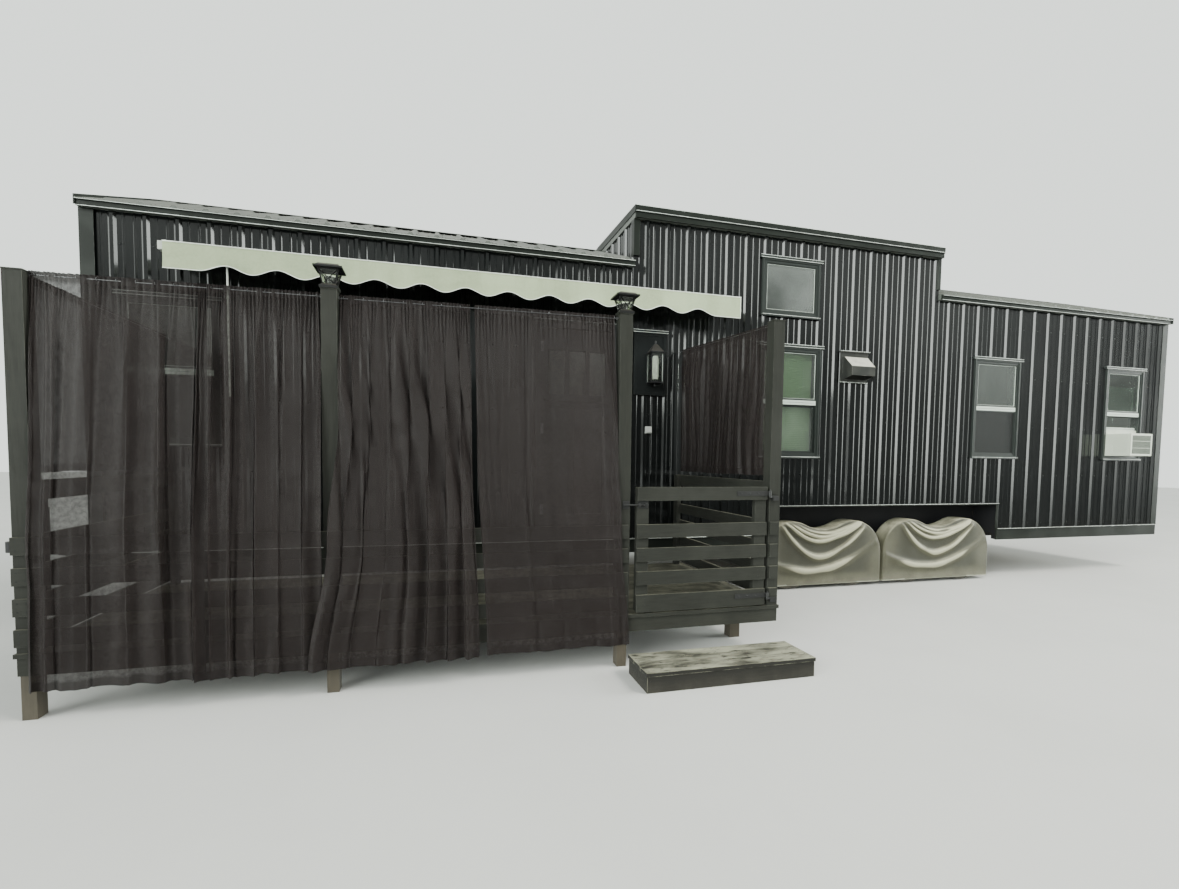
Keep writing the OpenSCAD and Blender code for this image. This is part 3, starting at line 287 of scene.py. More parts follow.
def build_blotches():
    """Uneven patches of a finish. Stretch pulls them out along an axis."""
    inputs = {"Scale": 3.0, "Low": 0.4, "High": 0.65, "Stretch": (1.0, 1.0, 1.0)}
    tree, given, out = new_group("uneven_patches", inputs, ["Mask"])
    place = stretched_place(tree, given["Stretch"])
    patch = cloud(tree, place, Scale=given["Scale"], Detail=5.0, Roughness=0.6)
    tree.links.new(ramp(tree, patch, given["Low"], given["High"]), out["Mask"])
    return tree


def build_dust():
    """Dust that lies on what faces up, and splashed dirt near the ground."""
    inputs = {"Dust": 0.5, "Splash": 0.3, "Splash height": 0.5, "Scale": 9.0}
    tree, given, out = new_group("dust_and_splash", inputs, ["Mask"])
    place = object_place(tree)
    patch = ramp(tree, cloud(tree, place, Scale=given["Scale"], Detail=6.0, Roughness=0.65), 0.3, 0.75)
    lying = multiply(tree, ramp(tree, axis_of(tree, face_normal(tree), "Z"), 0.2, 0.95), given["Dust"])
    near_ground = ramp(tree, axis_of(tree, place, "Z"), given["Splash height"], 0.0)
    both = math_node(tree, "ADD", lying, multiply(tree, near_ground, given["Splash"]))
    film = math_node(tree, "MULTIPLY", both, ramp(tree, patch, 0.0, 1.0, 0.35, 1.0), clamp=True)
    tree.links.new(film, out["Mask"])
    return tree


def build_edge_wear():
    """Rubbed edges: where a rounded normal departs from the face's own, broken up by noise."""
    tree, given, out = new_group("edge_wear", {"Width": 0.004, "Amount": 1.0, "Scale": 25.0}, ["Mask"])
    rounded = add_node(tree, "ShaderNodeBevel", {"Radius": given["Width"]}, samples=4).outputs[0]
    same = add_node(tree, "ShaderNodeVectorMath", {0: rounded, 1: face_normal(tree)}, operation="DOT_PRODUCT")
    edge = ramp(tree, same.outputs["Value"], 0.995, 0.86)
    broken = ramp(tree, cloud(tree, object_place(tree), Scale=given["Scale"], Detail=4.0), 0.38, 0.62)
    worn = math_node(tree, "MULTIPLY", multiply(tree, edge, broken), given["Amount"], clamp=True)
    tree.links.new(worn, out["Mask"])
    return tree


def build_upward():
    """High where a face looks up."""
    tree, given, out = new_group("facing_up", {"Low": 0.35, "High": 0.75}, ["Mask"])
    up = axis_of(tree, face_normal(tree), "Z")
    tree.links.new(ramp(tree, up, given["Low"], given["High"]), out["Mask"])
    return tree


def build_grain():
    """Timber grain that runs along the axis where Stretch is small."""
    inputs = {"Stretch": (1.0, 14.0, 14.0), "Scale": 6.0}
    tree, given, out = new_group("timber_grain", inputs, ["Streaks", "Height"])
    place = stretched_place(tree, given["Stretch"])
    coarse = cloud(tree, place, Scale=given["Scale"], Detail=6.0, Roughness=0.7, Distortion=0.6)
    fine = cloud(tree, place, Scale=multiply(tree, given["Scale"], 5.0), Detail=3.0)
    tree.links.new(ramp(tree, coarse, 0.35, 0.7), out["Streaks"])
    tree.links.new(math_node(tree, "ADD", coarse, multiply(tree, fine, 0.5)), out["Height"])
    return tree


def build_weave():
    """Crossed threads of a cloth that hangs upright, and the slight unevenness of their colour."""
    tree, given, out = new_group("crossed_threads", {"Threads": 900.0}, ["Height", "Tint"])
    place = object_place(tree)
    along = math_node(tree, "ADD", axis_of(tree, place, "X"), axis_of(tree, place, "Y"))
    turns = multiply(tree, given["Threads"], math.tau)
    axes = (along, axis_of(tree, place, "Z"))
    threads = [math_node(tree, "SINE", multiply(tree, axis, turns)) for axis in axes]
    tree.links.new(math_node(tree, "MAXIMUM", *threads), out["Height"])
    slub = cloud(tree, place, Scale=38.0, Detail=6.0, Roughness=0.75)
    tree.links.new(ramp(tree, slub, 0.3, 0.7), out["Tint"])
    return tree


def build_paint_skin():
    """The fine orange peel of a sprayed or moulded surface, with long soft waves under it."""
    tree, given, out = new_group("paint_skin", {"Scale": 700.0, "Waves": 4.0}, ["Height"])
    place = object_place(tree)
    fine = cloud(tree, place, Scale=given["Scale"], Detail=2.0)
    long = cloud(tree, place, Scale=given["Waves"], Detail=1.0)
    tree.links.new(math_node(tree, "ADD", multiply(tree, fine, 0.12), long), out["Height"])
    return tree


BLOTCHES = build_blotches()
DUST = build_dust()
EDGE_WEAR = build_edge_wear()
UPWARD = build_upward()
GRAIN = build_grain()
WEAVE = build_weave()
PAINT_SKIN = build_paint_skin()


class Finish:
    """A material being made: its Principled shader, with short ways to layer colours and bumps onto it."""

    def __init__(self, name, colour, roughness, **sockets):
        self.material = bpy.data.materials.new(name)
        self.material.use_nodes = True
        self.tree = self.material.node_tree
        self.shader = self.tree.nodes["Principled BSDF"]
        self.colour = (*colour, 1.0)
        self.rough = roughness
        for title, value in sockets.items():
            self.shader.inputs[title.replace("_", " ")].default_value = value

    def effect(self, group, **values):
        """The outputs of a shader group that is placed with its own values."""
        node = add_node(self.tree, "ShaderNodeGroup", node_tree=group)
        for title, value in values.items():
            node.inputs[title.replace("_", " ")].default_value = value
        return node.outputs

    def attribute(self, name):
        """A value that the mesh carries from point to point."""
        return add_node(self.tree, "ShaderNodeAttribute", attribute_name=name).outputs["Fac"]

    def layer(self, mask, colour, roughness, strength=1.0):
        """Lays a colour and a roughness over what is there, where mask is high."""
        if strength != 1.0:
            mask = math_node(self.tree, "MULTIPLY", mask, strength, clamp=True)
        sockets = {"Factor": mask, 6: self.colour, 7: (*colour, 1.0)}
        self.colour = add_node(self.tree, "ShaderNodeMix", sockets, data_type="RGBA").outputs[2]
        self.rough = blend(self.tree, mask, self.rough, roughness)

    def patches(self, colour, roughness, strength=1.0, **values):
        """Lays a colour on in uneven patches."""
        self.layer(self.effect(BLOTCHES, **values)["Mask"], colour, roughness, strength)

    def rubbed(self, colour, roughness, width, amount, scale):
        """Bares a colour along the edges."""
        mask = self.effect(EDGE_WEAR, Width=width, Amount=amount, Scale=scale)["Mask"]
        self.layer(mask, colour, roughness)

    def dusty(self, colour, roughness, **values):
        """Lays dust on what faces up, and splashes near the ground."""
        self.layer(self.effect(DUST, **values)["Mask"], colour, roughness)

    def bump(self, height, distance, strength):
        """Raises the surface by a height."""
        sockets = {"Height": height, "Distance": distance, "Strength": strength}
        node = add_node(self.tree, "ShaderNodeBump", sockets)
        self.tree.links.new(node.outputs[0], self.shader.inputs["Normal"])

    def skin(self, scale, waves, distance, strength):
        """Gives the surface its fine unevenness."""
        self.bump(self.effect(PAINT_SKIN, Scale=scale, Waves=waves)["Height"], distance, strength)

    def done(self):
        """Joins the layers to the shader and gives the material."""
        for title, value in (("Base Color", self.colour), ("Roughness", self.rough)):
            if isinstance(value, bpy.types.NodeSocket):
                self.tree.links.new(value, self.shader.inputs[title])
            else:
                self.shader.inputs[title].default_value = value
        return self.material


DUST_COLOUR = (0.21, 0.19, 0.15)
RAIN_FILM = (0.25, 0.27, 0.25)


def times(colour, share, lift=0.0):
    """A colour made lighter or darker."""
    return tuple(min(1.0, c * share + lift) for c in colour)


# finishes of the house's parts

def painted_sheet(name, colour, roughness=0.14, film=0.003, dust=0.3):
    """Glossy factory-painted steel sheet: a breath of rain film, uneven gloss and slight waves."""
    finish = Finish(name, colour, roughness, IOR=1.52)
    finish.patches(RAIN_FILM, roughness + 0.03, film, Scale=4.0, Low=0.4, High=0.8, Stretch=(2.0, 2.0, 0.1))
    finish.patches(times(colour, 1.3), roughness + 0.04, 0.6, Scale=1.3, Low=0.35, High=0.7)
    finish.dusty(DUST_COLOUR, 0.7, Dust=dust, Splash=0.04, Splash_height=1.1)
    finish.skin(500.0, 1.5, 0.0005, 0.3)
    return finish.done()


def folded_trim(name, colour, roughness=0.28, bare=(0.2, 0.215, 0.2), dust=0.4):
    """Folded trim: like the sheets, with its edges rubbed lighter."""
    finish = Finish(name, colour, roughness, Specular_IOR_Level=0.22)
    finish.patches(times(colour, 1.35), roughness + 0.12, 0.7, Scale=4.0)
    finish.rubbed(bare, 0.4, 0.003, 0.5, 18.0)
    finish.dusty(DUST_COLOUR, 0.75, Dust=dust, Splash=0.08, Splash_height=0.8)
    finish.skin(450.0, 7.0, 0.0008, 0.5)
    return finish.done()


def painted_timber(name, colour, stretch, worn=(0.12, 0.125, 0.105), wear=0.6, roughness=0.5):
    """Painted boards: the grain shows through the paint, the arrises are rubbed and pollen lies on top."""
    finish = Finish(name, colour, roughness, Specular_IOR_Level=0.1)
    grain = finish.effect(GRAIN, Stretch=stretch, Scale=7.0)
    finish.layer(grain["Streaks"], times(colour, 0.68), roughness + 0.1, 0.7)
    finish.patches(times(colour, 1.4), roughness + 0.05, 0.5, Scale=2.2, Low=0.4, High=0.7)
    finish.rubbed(worn, 0.75, 0.004, wear, 30.0)
    finish.dusty((0.17, 0.165, 0.125), 0.85, Dust=0.7, Splash=0.1, Splash_height=0.45)
    finish.bump(grain["Height"], 0.0012, 0.6)
    return finish.done()


def bare_wood(name, colour, stretch, roughness=0.75):
    """Unpainted timber, grey with dirt near the ground."""
    finish = Finish(name, colour, roughness)
    grain = finish.effect(GRAIN, Stretch=stretch, Scale=5.0)
    finish.layer(grain["Streaks"], times(colour, 0.55), roughness, 0.8)
    finish.patches(times(colour, 1.2), roughness, 0.5, Scale=6.0)
    finish.dusty((0.07, 0.06, 0.043), 0.9, Dust=0.4, Splash=0.5, Splash_height=0.3)
    finish.bump(grain["Height"], 0.0015, 0.7)
    return finish.done()


def hood_paint_painted_sheen():
    """Dark enamel, with a pale layer painted on the faces that slope up as painted reflection of the sky,
    broken up unevenly.
    """
    finish = Finish("hood_enamel_painted_sheen", (0.02, 0.0215, 0.019), 0.3)
    finish.patches((0.035, 0.035, 0.03), 0.4, 0.7, Scale=9.0)
    # painted reflection: pale on the faces that slope up, where the sky would show
    patch = finish.effect(BLOTCHES, Scale=14.0, Low=0.2, High=0.7)["Mask"]
    uneven = ramp(finish.tree, patch, 0.0, 1.0, 0.7, 1.0)
    finish.layer(multiply(finish.tree, finish.effect(UPWARD)["Mask"], uneven), (0.5, 0.49, 0.42), 0.5)
    finish.rubbed((0.4, 0.4, 0.36), 0.4, 0.003, 0.7, 18.0)
    finish.skin(450.0, 7.0, 0.0008, 0.5)
    return finish.done()


def worn_step():
    """Dark paint walked off the top boards, which show grey wood and dirt."""
    wood, dirt, fleck = (0.3, 0.3, 0.225), (0.02, 0.02, 0.017), (0.2, 0.17, 0.12)
    finish = Finish("step_worn_paint", (0.022, 0.021, 0.018), 0.6, Specular_IOR_Level=0.2)
    grain = finish.effect(GRAIN, Stretch=(1.0, 12.0, 12.0), Scale=6.0)
    finish.layer(grain["Streaks"], (0.018, 0.018, 0.016), 0.7, 0.7)
    walked = finish.effect(BLOTCHES, Scale=5.0, Low=0.3, High=0.6, Stretch=(0.55, 1.6, 1.0))
    scraped = finish.effect(BLOTCHES, Scale=16.0, Low=0.55, High=0.68, Stretch=(0.5, 1.5, 1.0))
    flecks = finish.effect(BLOTCHES, Scale=42.0, Low=0.62, High=0.68)
    top = finish.effect(UPWARD)["Mask"]
    for patch, colour, roughness in ((walked, wood, 0.8), (scraped, dirt, 0.8), (flecks, fleck, 0.85)):
        finish.layer(multiply(finish.tree, patch["Mask"], top), colour, roughness)
    finish.rubbed(wood, 0.8, 0.006, 0.8, 14.0)
    finish.dusty(DUST_COLOUR, 0.9, Dust=0.1, Splash=0.1, Splash_height=0.1)
    finish.bump(grain["Height"], 0.002, 0.8)
    return finish.done()


def moulded_plastic(name, colour, roughness=0.4, dust=0.3):
    """Moulded plastic or rubber, a little scuffed and dusty."""
    finish = Finish(name, colour, roughness)
    finish.patches(times(colour, 0.85), roughness + 0.1, 0.6, Scale=3.0)
    finish.rubbed(times(colour, 1.6, 0.03), roughness, 0.002, 0.3, 40.0)
    finish.dusty(DUST_COLOUR, 0.8, Dust=dust, Splash=0.1)
    finish.skin(900.0, 12.0, 0.0004, 0.5)
    return finish.done()


def clear_pane(name, tint, roughness=0.03, index=1.5):
    """Window glass with slightly uneven, smeared faces."""
    finish = Finish(name, tint, roughness, Transmission_Weight=1.0, IOR=index)
    smear = finish.effect(BLOTCHES, Scale=7.0, Low=0.45, High=0.8, Stretch=(1.0, 1.0, 0.5))["Mask"]
    finish.rough = ramp(finish.tree, smear, 0.0, 1.0, roughness, roughness + 0.09)
    finish.skin(30.0, 3.0, 0.0006, 0.2)
    return finish.done()


def frosted_pane():
    """Obscured lantern glass, duller where dust has caught."""
    finish = Finish("lantern_frosted_glass", (0.9, 0.92, 0.85), 0.4, Transmission_Weight=0.25, IOR=1.45)
    finish.patches((0.7, 0.72, 0.64), 0.6, 0.5, Scale=30.0)
    finish.skin(500.0, 60.0, 0.0004, 0.6)
    return finish.done()


def insect_mesh():
    """Fine dark mesh: see-through squares between crossed threads."""
    finish = Finish("insect_mesh", (0.008, 0.009, 0.009), 0.7)
    weave = finish.effect(WEAVE, Threads=650.0)
    finish.layer(weave["Tint"], (0.018, 0.02, 0.018), 0.7, 0.5)
    gaps = ramp(finish.tree, weave["Height"], -0.6, 0.9, 0.65, 0.95)
    finish.tree.links.new(gaps, finish.shader.inputs["Alpha"])
    finish.bump(weave["Height"], 0.0002, 0.5)
    return finish.done()


def hung_cloth(name, colour, roughness, threads, alpha=None):
    """Woven cloth. Where alpha is given it is sheer, and its hems, which are doubled, let less through."""
    finish = Finish(name, colour, roughness, Specular_IOR_Level=0.16)
    weave = finish.effect(WEAVE, Threads=threads)
    finish.layer(weave["Tint"], times(colour, 0.75), roughness + 0.1, 0.5)
    finish.patches(times(colour, 1.3), roughness, 0.5, Scale=1.6, Stretch=(2.0, 2.0, 0.4))
    finish.bump(weave["Height"], 0.0003, 0.6)
    if alpha is not None:
        hem = finish.attribute("hem")
        open_part = ramp(finish.tree, weave["Tint"], 0.0, 1.0, alpha - 0.04, alpha + 0.04)
        finish.tree.links.new(blend(finish.tree, hem, open_part, 0.95), finish.shader.inputs["Alpha"])
        finish.layer(hem, times(colour, 0.8), roughness, 0.8)
    return finish.done()


def coated_cover_cloth_painted_shade():
    """Coated cover cloth with painted shade and highlight: dark in the hollows between the swags as painted
    shade, pale on their crests as painted highlight, pale on what faces up from dust and painted highlight
    together, with a light band along the hem.
    """
    finish = Finish("cover_coated_cloth_painted_shade", (0.085, 0.082, 0.054), 0.5)
    finish.patches((0.05, 0.048, 0.031), 0.48, 0.7, Scale=4.0, Low=0.4, High=0.7)
    weave = finish.effect(WEAVE, Threads=420.0)
    finish.layer(weave["Tint"], (0.12, 0.116, 0.078), 0.55, 0.3)
    fold_painted_shade = finish.attribute("fold_painted_shade")
    # painted shade in the hollows between the swags
    finish.layer(ramp(finish.tree, fold_painted_shade, 0.1, 0.5, 1.0, 0.0), (0.014, 0.014, 0.0095), 0.6, 0.62)
    # painted highlight on the crests of the swags
    finish.layer(ramp(finish.tree, fold_painted_shade, 0.65, 1.0), (0.48, 0.465, 0.33), 0.6, 0.85)
    # pale on what faces up: partly dust, partly painted highlight on the tops
    finish.dusty((0.45, 0.435, 0.32), 0.75, Dust=0.9, Splash=0.25, Splash_height=0.2, Scale=6.0)
    finish.layer(finish.attribute("hem"), (0.42, 0.42, 0.34), 0.7, 0.8)
    finish.bump(weave["Height"], 0.0005, 0.5)
    return finish.done()


def tyre_rubber():
    """Black rubber, greyed by road dirt."""
    finish = Finish("tyre_rubber", (0.018, 0.018, 0.017), 0.75)
    finish.patches((0.05, 0.046, 0.04), 0.9, 0.7, Scale=9.0)
    finish.dusty(DUST_COLOUR, 0.95, Dust=0.4, Splash=0.4, Splash_height=0.3)
    finish.skin(220.0, 40.0, 0.0015, 0.7)
    return finish.done()


def steel(name, colour, roughness=0.35, metallic=1.0):
    """Small steel parts, bare or blackened."""
    finish = Finish(name, colour, roughness, Metallic=metallic)
    finish.patches(times(colour, 0.6), roughness + 0.2, 0.7, Scale=18.0)
    finish.rubbed(times(colour, 1.6, 0.05), roughness, 0.0015, 0.5, 60.0)
    finish.skin(600.0, 60.0, 0.0003, 0.6)
    return finish.done()


ALONG_X = (1.0, 14.0, 14.0)
ALONG_Y = (14.0, 1.0, 14.0)
ALONG_Z = (14.0, 14.0, 1.0)
DECK_COLOUR = (0.0265, 0.0272, 0.0235)
TRIM_COLOUR = (0.0115, 0.0138, 0.0115)
FINISHES = {
    "siding_metal": painted_sheet("siding_painted_sheet", (0.0035, 0.0042, 0.0042)),
    # the roof's pale grey stands in for the sky glinting off the dark roof: painted reflection
    "roof_metal": painted_sheet("roof_sheet_painted_sky_glint", (0.085, 0.092, 0.082), 0.32, 0.1, 0.3),
    "trim_metal": folded_trim("trim_folded", TRIM_COLOUR),
    "wall_wood": bare_wood("wall_sheathing", (0.3, 0.24, 0.17), ALONG_X),
    "frame_plastic": moulded_plastic("window_frame_plastic", (0.016, 0.0205, 0.018), 0.4),
    "pane_glass": clear_pane("window_glass", (0.68, 0.82, 0.7), index=2.5),
    "blind_vinyl": moulded_plastic("blind_slats", (0.62, 0.74, 0.5), 0.5, 0.1),
    "door_paint": painted_sheet("door_paint", (0.01, 0.011, 0.011), 0.35),
    "hood_metal": hood_paint_painted_sheen(),
    "board_paint": painted_timber("lantern_board_paint", (0.011, 0.0125, 0.0125), ALONG_Z, wear=0.4),
    "cover_plastic": moulded_plastic("outlet_plastic", (0.5, 0.51, 0.48), 0.4),
    "lantern_metal": folded_trim("lantern_metal", (0.009, 0.009, 0.01), 0.35),
    "lantern_pane": clear_pane("lantern_glass", (0.9, 0.93, 0.88)),
    "ac_plastic": moulded_plastic("conditioner_plastic", (0.52, 0.56, 0.47), 0.4, 0.35),
    "awning_metal": folded_trim("awning_metal", (0.4, 0.42, 0.38), 0.35, (0.6, 0.6, 0.58)),
    "awning_cloth": hung_cloth("awning_cloth", (0.34, 0.4, 0.26), 0.7, 500.0),
    "frame_steel": folded_trim("trailer_paint", (0.009, 0.009, 0.01), 0.45, (0.16, 0.09, 0.05)),
    "rim_steel": folded_trim("rim_paint", (0.3, 0.31, 0.31), 0.35),
    "tyre_rubber": tyre_rubber(),
    "cover_cloth": coated_cover_cloth_painted_shade(),
    "deck_paint": painted_timber("deck_paint_along_x", DECK_COLOUR, ALONG_X),
    # the feet's bare timber is darkened as painted shade under the deck
    "bare_timber": bare_wood("foot_timber_painted_shade", (0.062, 0.052, 0.036), ALONG_Z),
    "step_paint": worn_step(),
    "post_lantern_plastic": moulded_plastic("post_lantern_plastic", (0.008, 0.008, 0.008), 0.3, 0.3),
    "wire_steel": steel("wire_steel", (0.35, 0.35, 0.36)),
    "curtain_cloth": hung_cloth("curtain_voile", (0.0172, 0.0134, 0.0128), 0.45, 800.0, alpha=0.87),
    "gate_iron": steel("gate_iron", (0.02, 0.02, 0.02), 0.45, 0.0),
}
DECK_ALONG_Z = painted_timber("deck_paint_along_z", DECK_COLOUR, ALONG_Z)
DECK_ALONG_Y = painted_timber("deck_paint_along_y", DECK_COLOUR, ALONG_Y)
NODE_FINISHES = {"deck_posts": DECK_ALONG_Z, "side_railings": DECK_ALONG_Y}
PIPING = moulded_plastic("piping_cloth", (0.84, 0.87, 0.8), 0.6, 0.1)
SCREW_PAINTED = folded_trim("screw_painted", (0.008, 0.009, 0.009), 0.5, (0.05, 0.05, 0.05))
# pale rolled lips: painted highlight for the glint along dark trim edges
LIP_PAINTED_HIGHLIGHT = folded_trim("hemmed_edge_painted_highlight", (0.5, 0.53, 0.5), 0.25, (0.75, 0.77, 0.74))
SASH_STRIP = moulded_plastic("sash_strip", (0.5, 0.56, 0.5), 0.35, 0.2)
SEAL_RUBBER = moulded_plastic("seal_rubber", (0.01, 0.01, 0.01), 0.7, 0.2)
FROSTED = frosted_pane()
MESH_CLOTH = insect_mesh()
COIL_GREY = moulded_plastic("coil_fins", (0.16, 0.18, 0.15), 0.45, 0.2)


def dress_nodes():
    """Gives each CAD node the finish of its slot."""
    slots = {part["node"]: part["material_slot"] for part in frame["record"]["subparts"]}
    for name, node in frame["nodes"].items():
        finish = NODE_FINISHES.get(name, FINISHES[slots[name]])
        node.data.materials.clear()
        node.data.materials.append(finish)


dress_nodes()


# screws of the ribbed sheets

FITTINGS = ("window_frames", "entry_door", "lantern_board", "vent_hood", "outlet_cover", "air_conditioner",
            "wheel_boxes")
HOLES = [box for node in FITTINGS for box in solids(node)]


def covered(x, z, margin=0.035):
    """True where a window, door or fitting of the front takes the sheet's place."""
    return any(low.x - margin < x < high.x + margin and low.z - margin < z < high.z + margin
               and low.y < corner.y + 0.5 for low, high in HOLES)


SCREW_ROWS = (0.70, 1.31, 1.92, 2.53, 3.14)
UPPER_SCREW_ROW = 3.72
BESIDE_RIB = 0.05


def sheet_screws():
    """Rows of screws in the flats beside the high ribs, in front and at the rear."""
    raised_low, raised_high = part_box("middle_roof")
    front, rear = bmesh.new(), bmesh.new()
    for x in places(RIB_FIRST + BESIDE_RIB, house_length - BESIDE_RIB, RIB_PITCH):
        place = corner.x + x
        raised = raised_low.x + 0.1 < place < raised_high.x - 0.1
        for z in SCREW_ROWS + ((UPPER_SCREW_ROW,) if raised else ()):
            if covered(place, z):
                continue
            point = at(x, FLAT_FACE, z)
            add_screw(front, point, FRONT)
            add_screw(rear, mirrored(point), REAR)
    for name, bm in (("front_sheet_screws", front), ("rear_sheet_screws", rear)):
        make_piece(name, bm, SCREW_PAINTED)


def end_screws():
    """The same rows on both end walls."""
    bm = bmesh.new()
    for y in places(SHEET_BACK + 0.06 + BESIDE_RIB, house_width - 0.1, RIB_PITCH):
        for z in SCREW_ROWS:
            add_screw(bm, at(FLAT_FACE, y, z), LEFT)
            add_screw(bm, at(house_length - FLAT_FACE, y, z), RIGHT)
    make_piece("end_sheet_screws", bm, SCREW_PAINTED)


ROOF_EAVE = 3.450
ROOF_SLOPE = 0.41
ROOF_OVERHANG = 0.040


def roof_screws():
    """Three rows on each slope of the low roofs."""
    bm = bmesh.new()
    up = Vector((0, -ROOF_SLOPE, 1)).normalized()
    raised_low, raised_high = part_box("middle_roof")
    for x in places(RIB_FIRST + BESIDE_RIB, house_length - BESIDE_RIB, RIB_PITCH):
        if raised_low.x - 0.12 < corner.x + x < raised_high.x + 0.12:
            continue
        for y in (0.08, 0.58, 1.08):
            point = at(x, y, ROOF_EAVE + ROOF_SLOPE * (y + ROOF_OVERHANG))
            add_screw(bm, point, up)
            add_screw(bm, mirrored(point), Vector((0, -up.y, up.z)))
    make_piece("roof_screws", bm, SCREW_PAINTED)


sheet_screws()
end_screws()
roof_screws()


# hemmed edges of the folded trim, coloured pale as painted highlight

WINDOW_FACE = 0.050
RAIL_LOW, RAIL_HIGH = 0.580, 0.638
# left edge, width, sill height, height
WINDOW_PLACES = {
    "left": (0.240, 0.720, 1.530, 1.210),
    "loft": (6.110, 0.725, 3.040, 0.605),
    "middle": (6.110, 0.770, 1.500, 1.214),
    "right": (9.090, 0.730, 1.530, 1.210),
    "end": (11.330, 0.700, 1.530, 1.210),
}
LIP_RADIUS = 0.0028


def hemmed_edges_painted_highlight():
    """The rolled lips along drips, sills and eaves, coloured pale as a painted highlight: thin bright lines
    where the dark trim would catch the light.
    """
    bm = bmesh.new()
    raised_low, raised_high = (end.x - corner.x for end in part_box("middle_roof"))
    well_low, well_high = (end.x - corner.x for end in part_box("wheel_boxes"))
    low_parts = ((0.0, raised_low), (raised_high, house_length))
    raised_part = ((raised_low, raised_high),)
    beside_well = ((0.0, well_low), (well_high, house_length))
    over_well = ((well_low, well_high),)
    # stretches of wall, with the lip's place before the front and its height
    lips = ((low_parts, -0.0550, 3.4365), (low_parts, -0.0405, 3.391), (raised_part, -0.0545, 3.9275),
            (raised_part, -0.0455, 3.987), (beside_well, -0.0145, 0.637), (over_well, -0.0145, 0.957))
    lines = [(start, end, y, z) for parts, y, z in lips for start, end in parts]
    for x, width, sill, height in WINDOW_PLACES.values():
        top = sill + height
        edges = (0.028, -0.0145, top + 0.0255), (0.028, -0.0145, top), (0.006, -0.0185, sill + 0.005)
        lines += [(x - past, x + width + past, y, z) for past, y, z in edges]
    # over the door, around the lantern board's cap, and above and below the vent hood
    front_only = ((3.622, 4.528, -0.0145, 2.8055), (4.637, 5.018, -0.0345, 2.768),
                  (4.637, 5.018, -0.0345, 2.746), (7.118, 7.512, -0.0305, 2.709),
                  (7.130, 7.500, -0.0115, 2.361))
    runs = [(place, *line) for line in lines for place in (at, rear_at)]
    for place, start, end, y, z in runs + [(at, *line) for line in front_only]:
        add_rod(bm, place(start, y, z), place(end, y, z), LIP_RADIUS, 8)
    make_piece("hemmed_edges_painted_highlight", bm, LIP_PAINTED_HIGHLIGHT, soft=True)


hemmed_edges_painted_highlight()


# windows

def framed(bm, place, x0, x1, z0, z1, bar, y0, y1):
    """Four bars around an opening."""
    for a, b in (((x0, z0), (x1, z0 + bar)), ((x0, z1 - bar), (x1, z1)),
                 ((x0, z0 + bar), (x0 + bar, z1 - bar)), ((x1 - bar, z0 + bar), (x1, z1 - bar))):
        ends = place(a[0], y0, a[1]), place(b[0], y1, b[1])
        low = Vector(min(p[i] for p in ends) for i in range(3))
        high = Vector(max(p[i] for p in ends) for i in range(3))
        add_block(bm, low, high, 0.0012)


def window_sashes():
    """Sash bars around the panes, pale strips on the meeting and lower rails, and beads beside the glass."""
    dark, pale = bmesh.new(), bmesh.new()
    bar = 0.014
    for name, (x, width, sill, height) in WINDOW_PLACES.items():
        x0, x1 = x + WINDOW_FACE, x + width - WINDOW_FACE
        z0, z1 = sill + WINDOW_FACE, sill + height - WINDOW_FACE
        rail_low, rail_high = sill + RAIL_LOW, sill + RAIL_HIGH

        def sashes(place):
            upper_low = z0 if name == "loft" else rail_high
            framed(dark, place, x0, x1, upper_low, z1, bar, 0.008, 0.0155)
            framed(pale, place, x0 + bar, x1 - bar, upper_low + bar, z1 - bar, 0.0035, 0.0095, 0.0155)
            if name == "loft":
                return
            framed(pale, place, x0 - 0.001, x1 + 0.001, rail_low + 0.004, rail_high - 0.004, 0.0235, 0.0035,
                   0.0055)
            if name != "end":
                framed(dark, place, x0, x1, z0, rail_low, 0.022, 0.023, 0.0315)

        sashes(at)
        if name != "end":
            sashes(rear_at)
    x, width, sill, height = WINDOW_PLACES["end"]
    x0, x1 = x + WINDOW_FACE, x + width - WINDOW_FACE
    framed(pale, at, x0, x1, sill + 0.398, sill + 0.437, 0.018, 0.0395, 0.0415)
    make_piece("sash_bars", dark, FINISHES["frame_plastic"])
    make_piece("sash_strips", pale, SASH_STRIP)


def insect_screens():
    """Stretched mesh in front of the lower sashes, in thin frames."""
    bars = bmesh.new()
    for name in ("left", "right"):
        x, width, sill, height = WINDOW_PLACES[name]
        x0, x1 = x + WINDOW_FACE, x + width - WINDOW_FACE
        z0, z1 = sill + WINDOW_FACE, sill + RAIL_LOW
        for side, place in (("front", at), ("rear", rear_at)):
            framed(bars, place, x0, x1, z0, z1, 0.012, 0.010, 0.017)

            def mesh_at(u, v):
                sag = 0.0135 + 0.0012 * ruffle(u * 2, v * 2, x)
                return place(mix(x0 + 0.006, x1 - 0.006, u), sag, mix(z1 - 0.006, z0 + 0.006, v))

            bm = bmesh.new()
            add_grid(bm, 16, 16, mesh_at)
            title = f"insect_screen_{name}_{side}"
            screen = make_piece(title, bm, MESH_CLOTH, soft=True, facing=False)
    make_piece("screen_frames", bars, FINISHES["frame_plastic"])


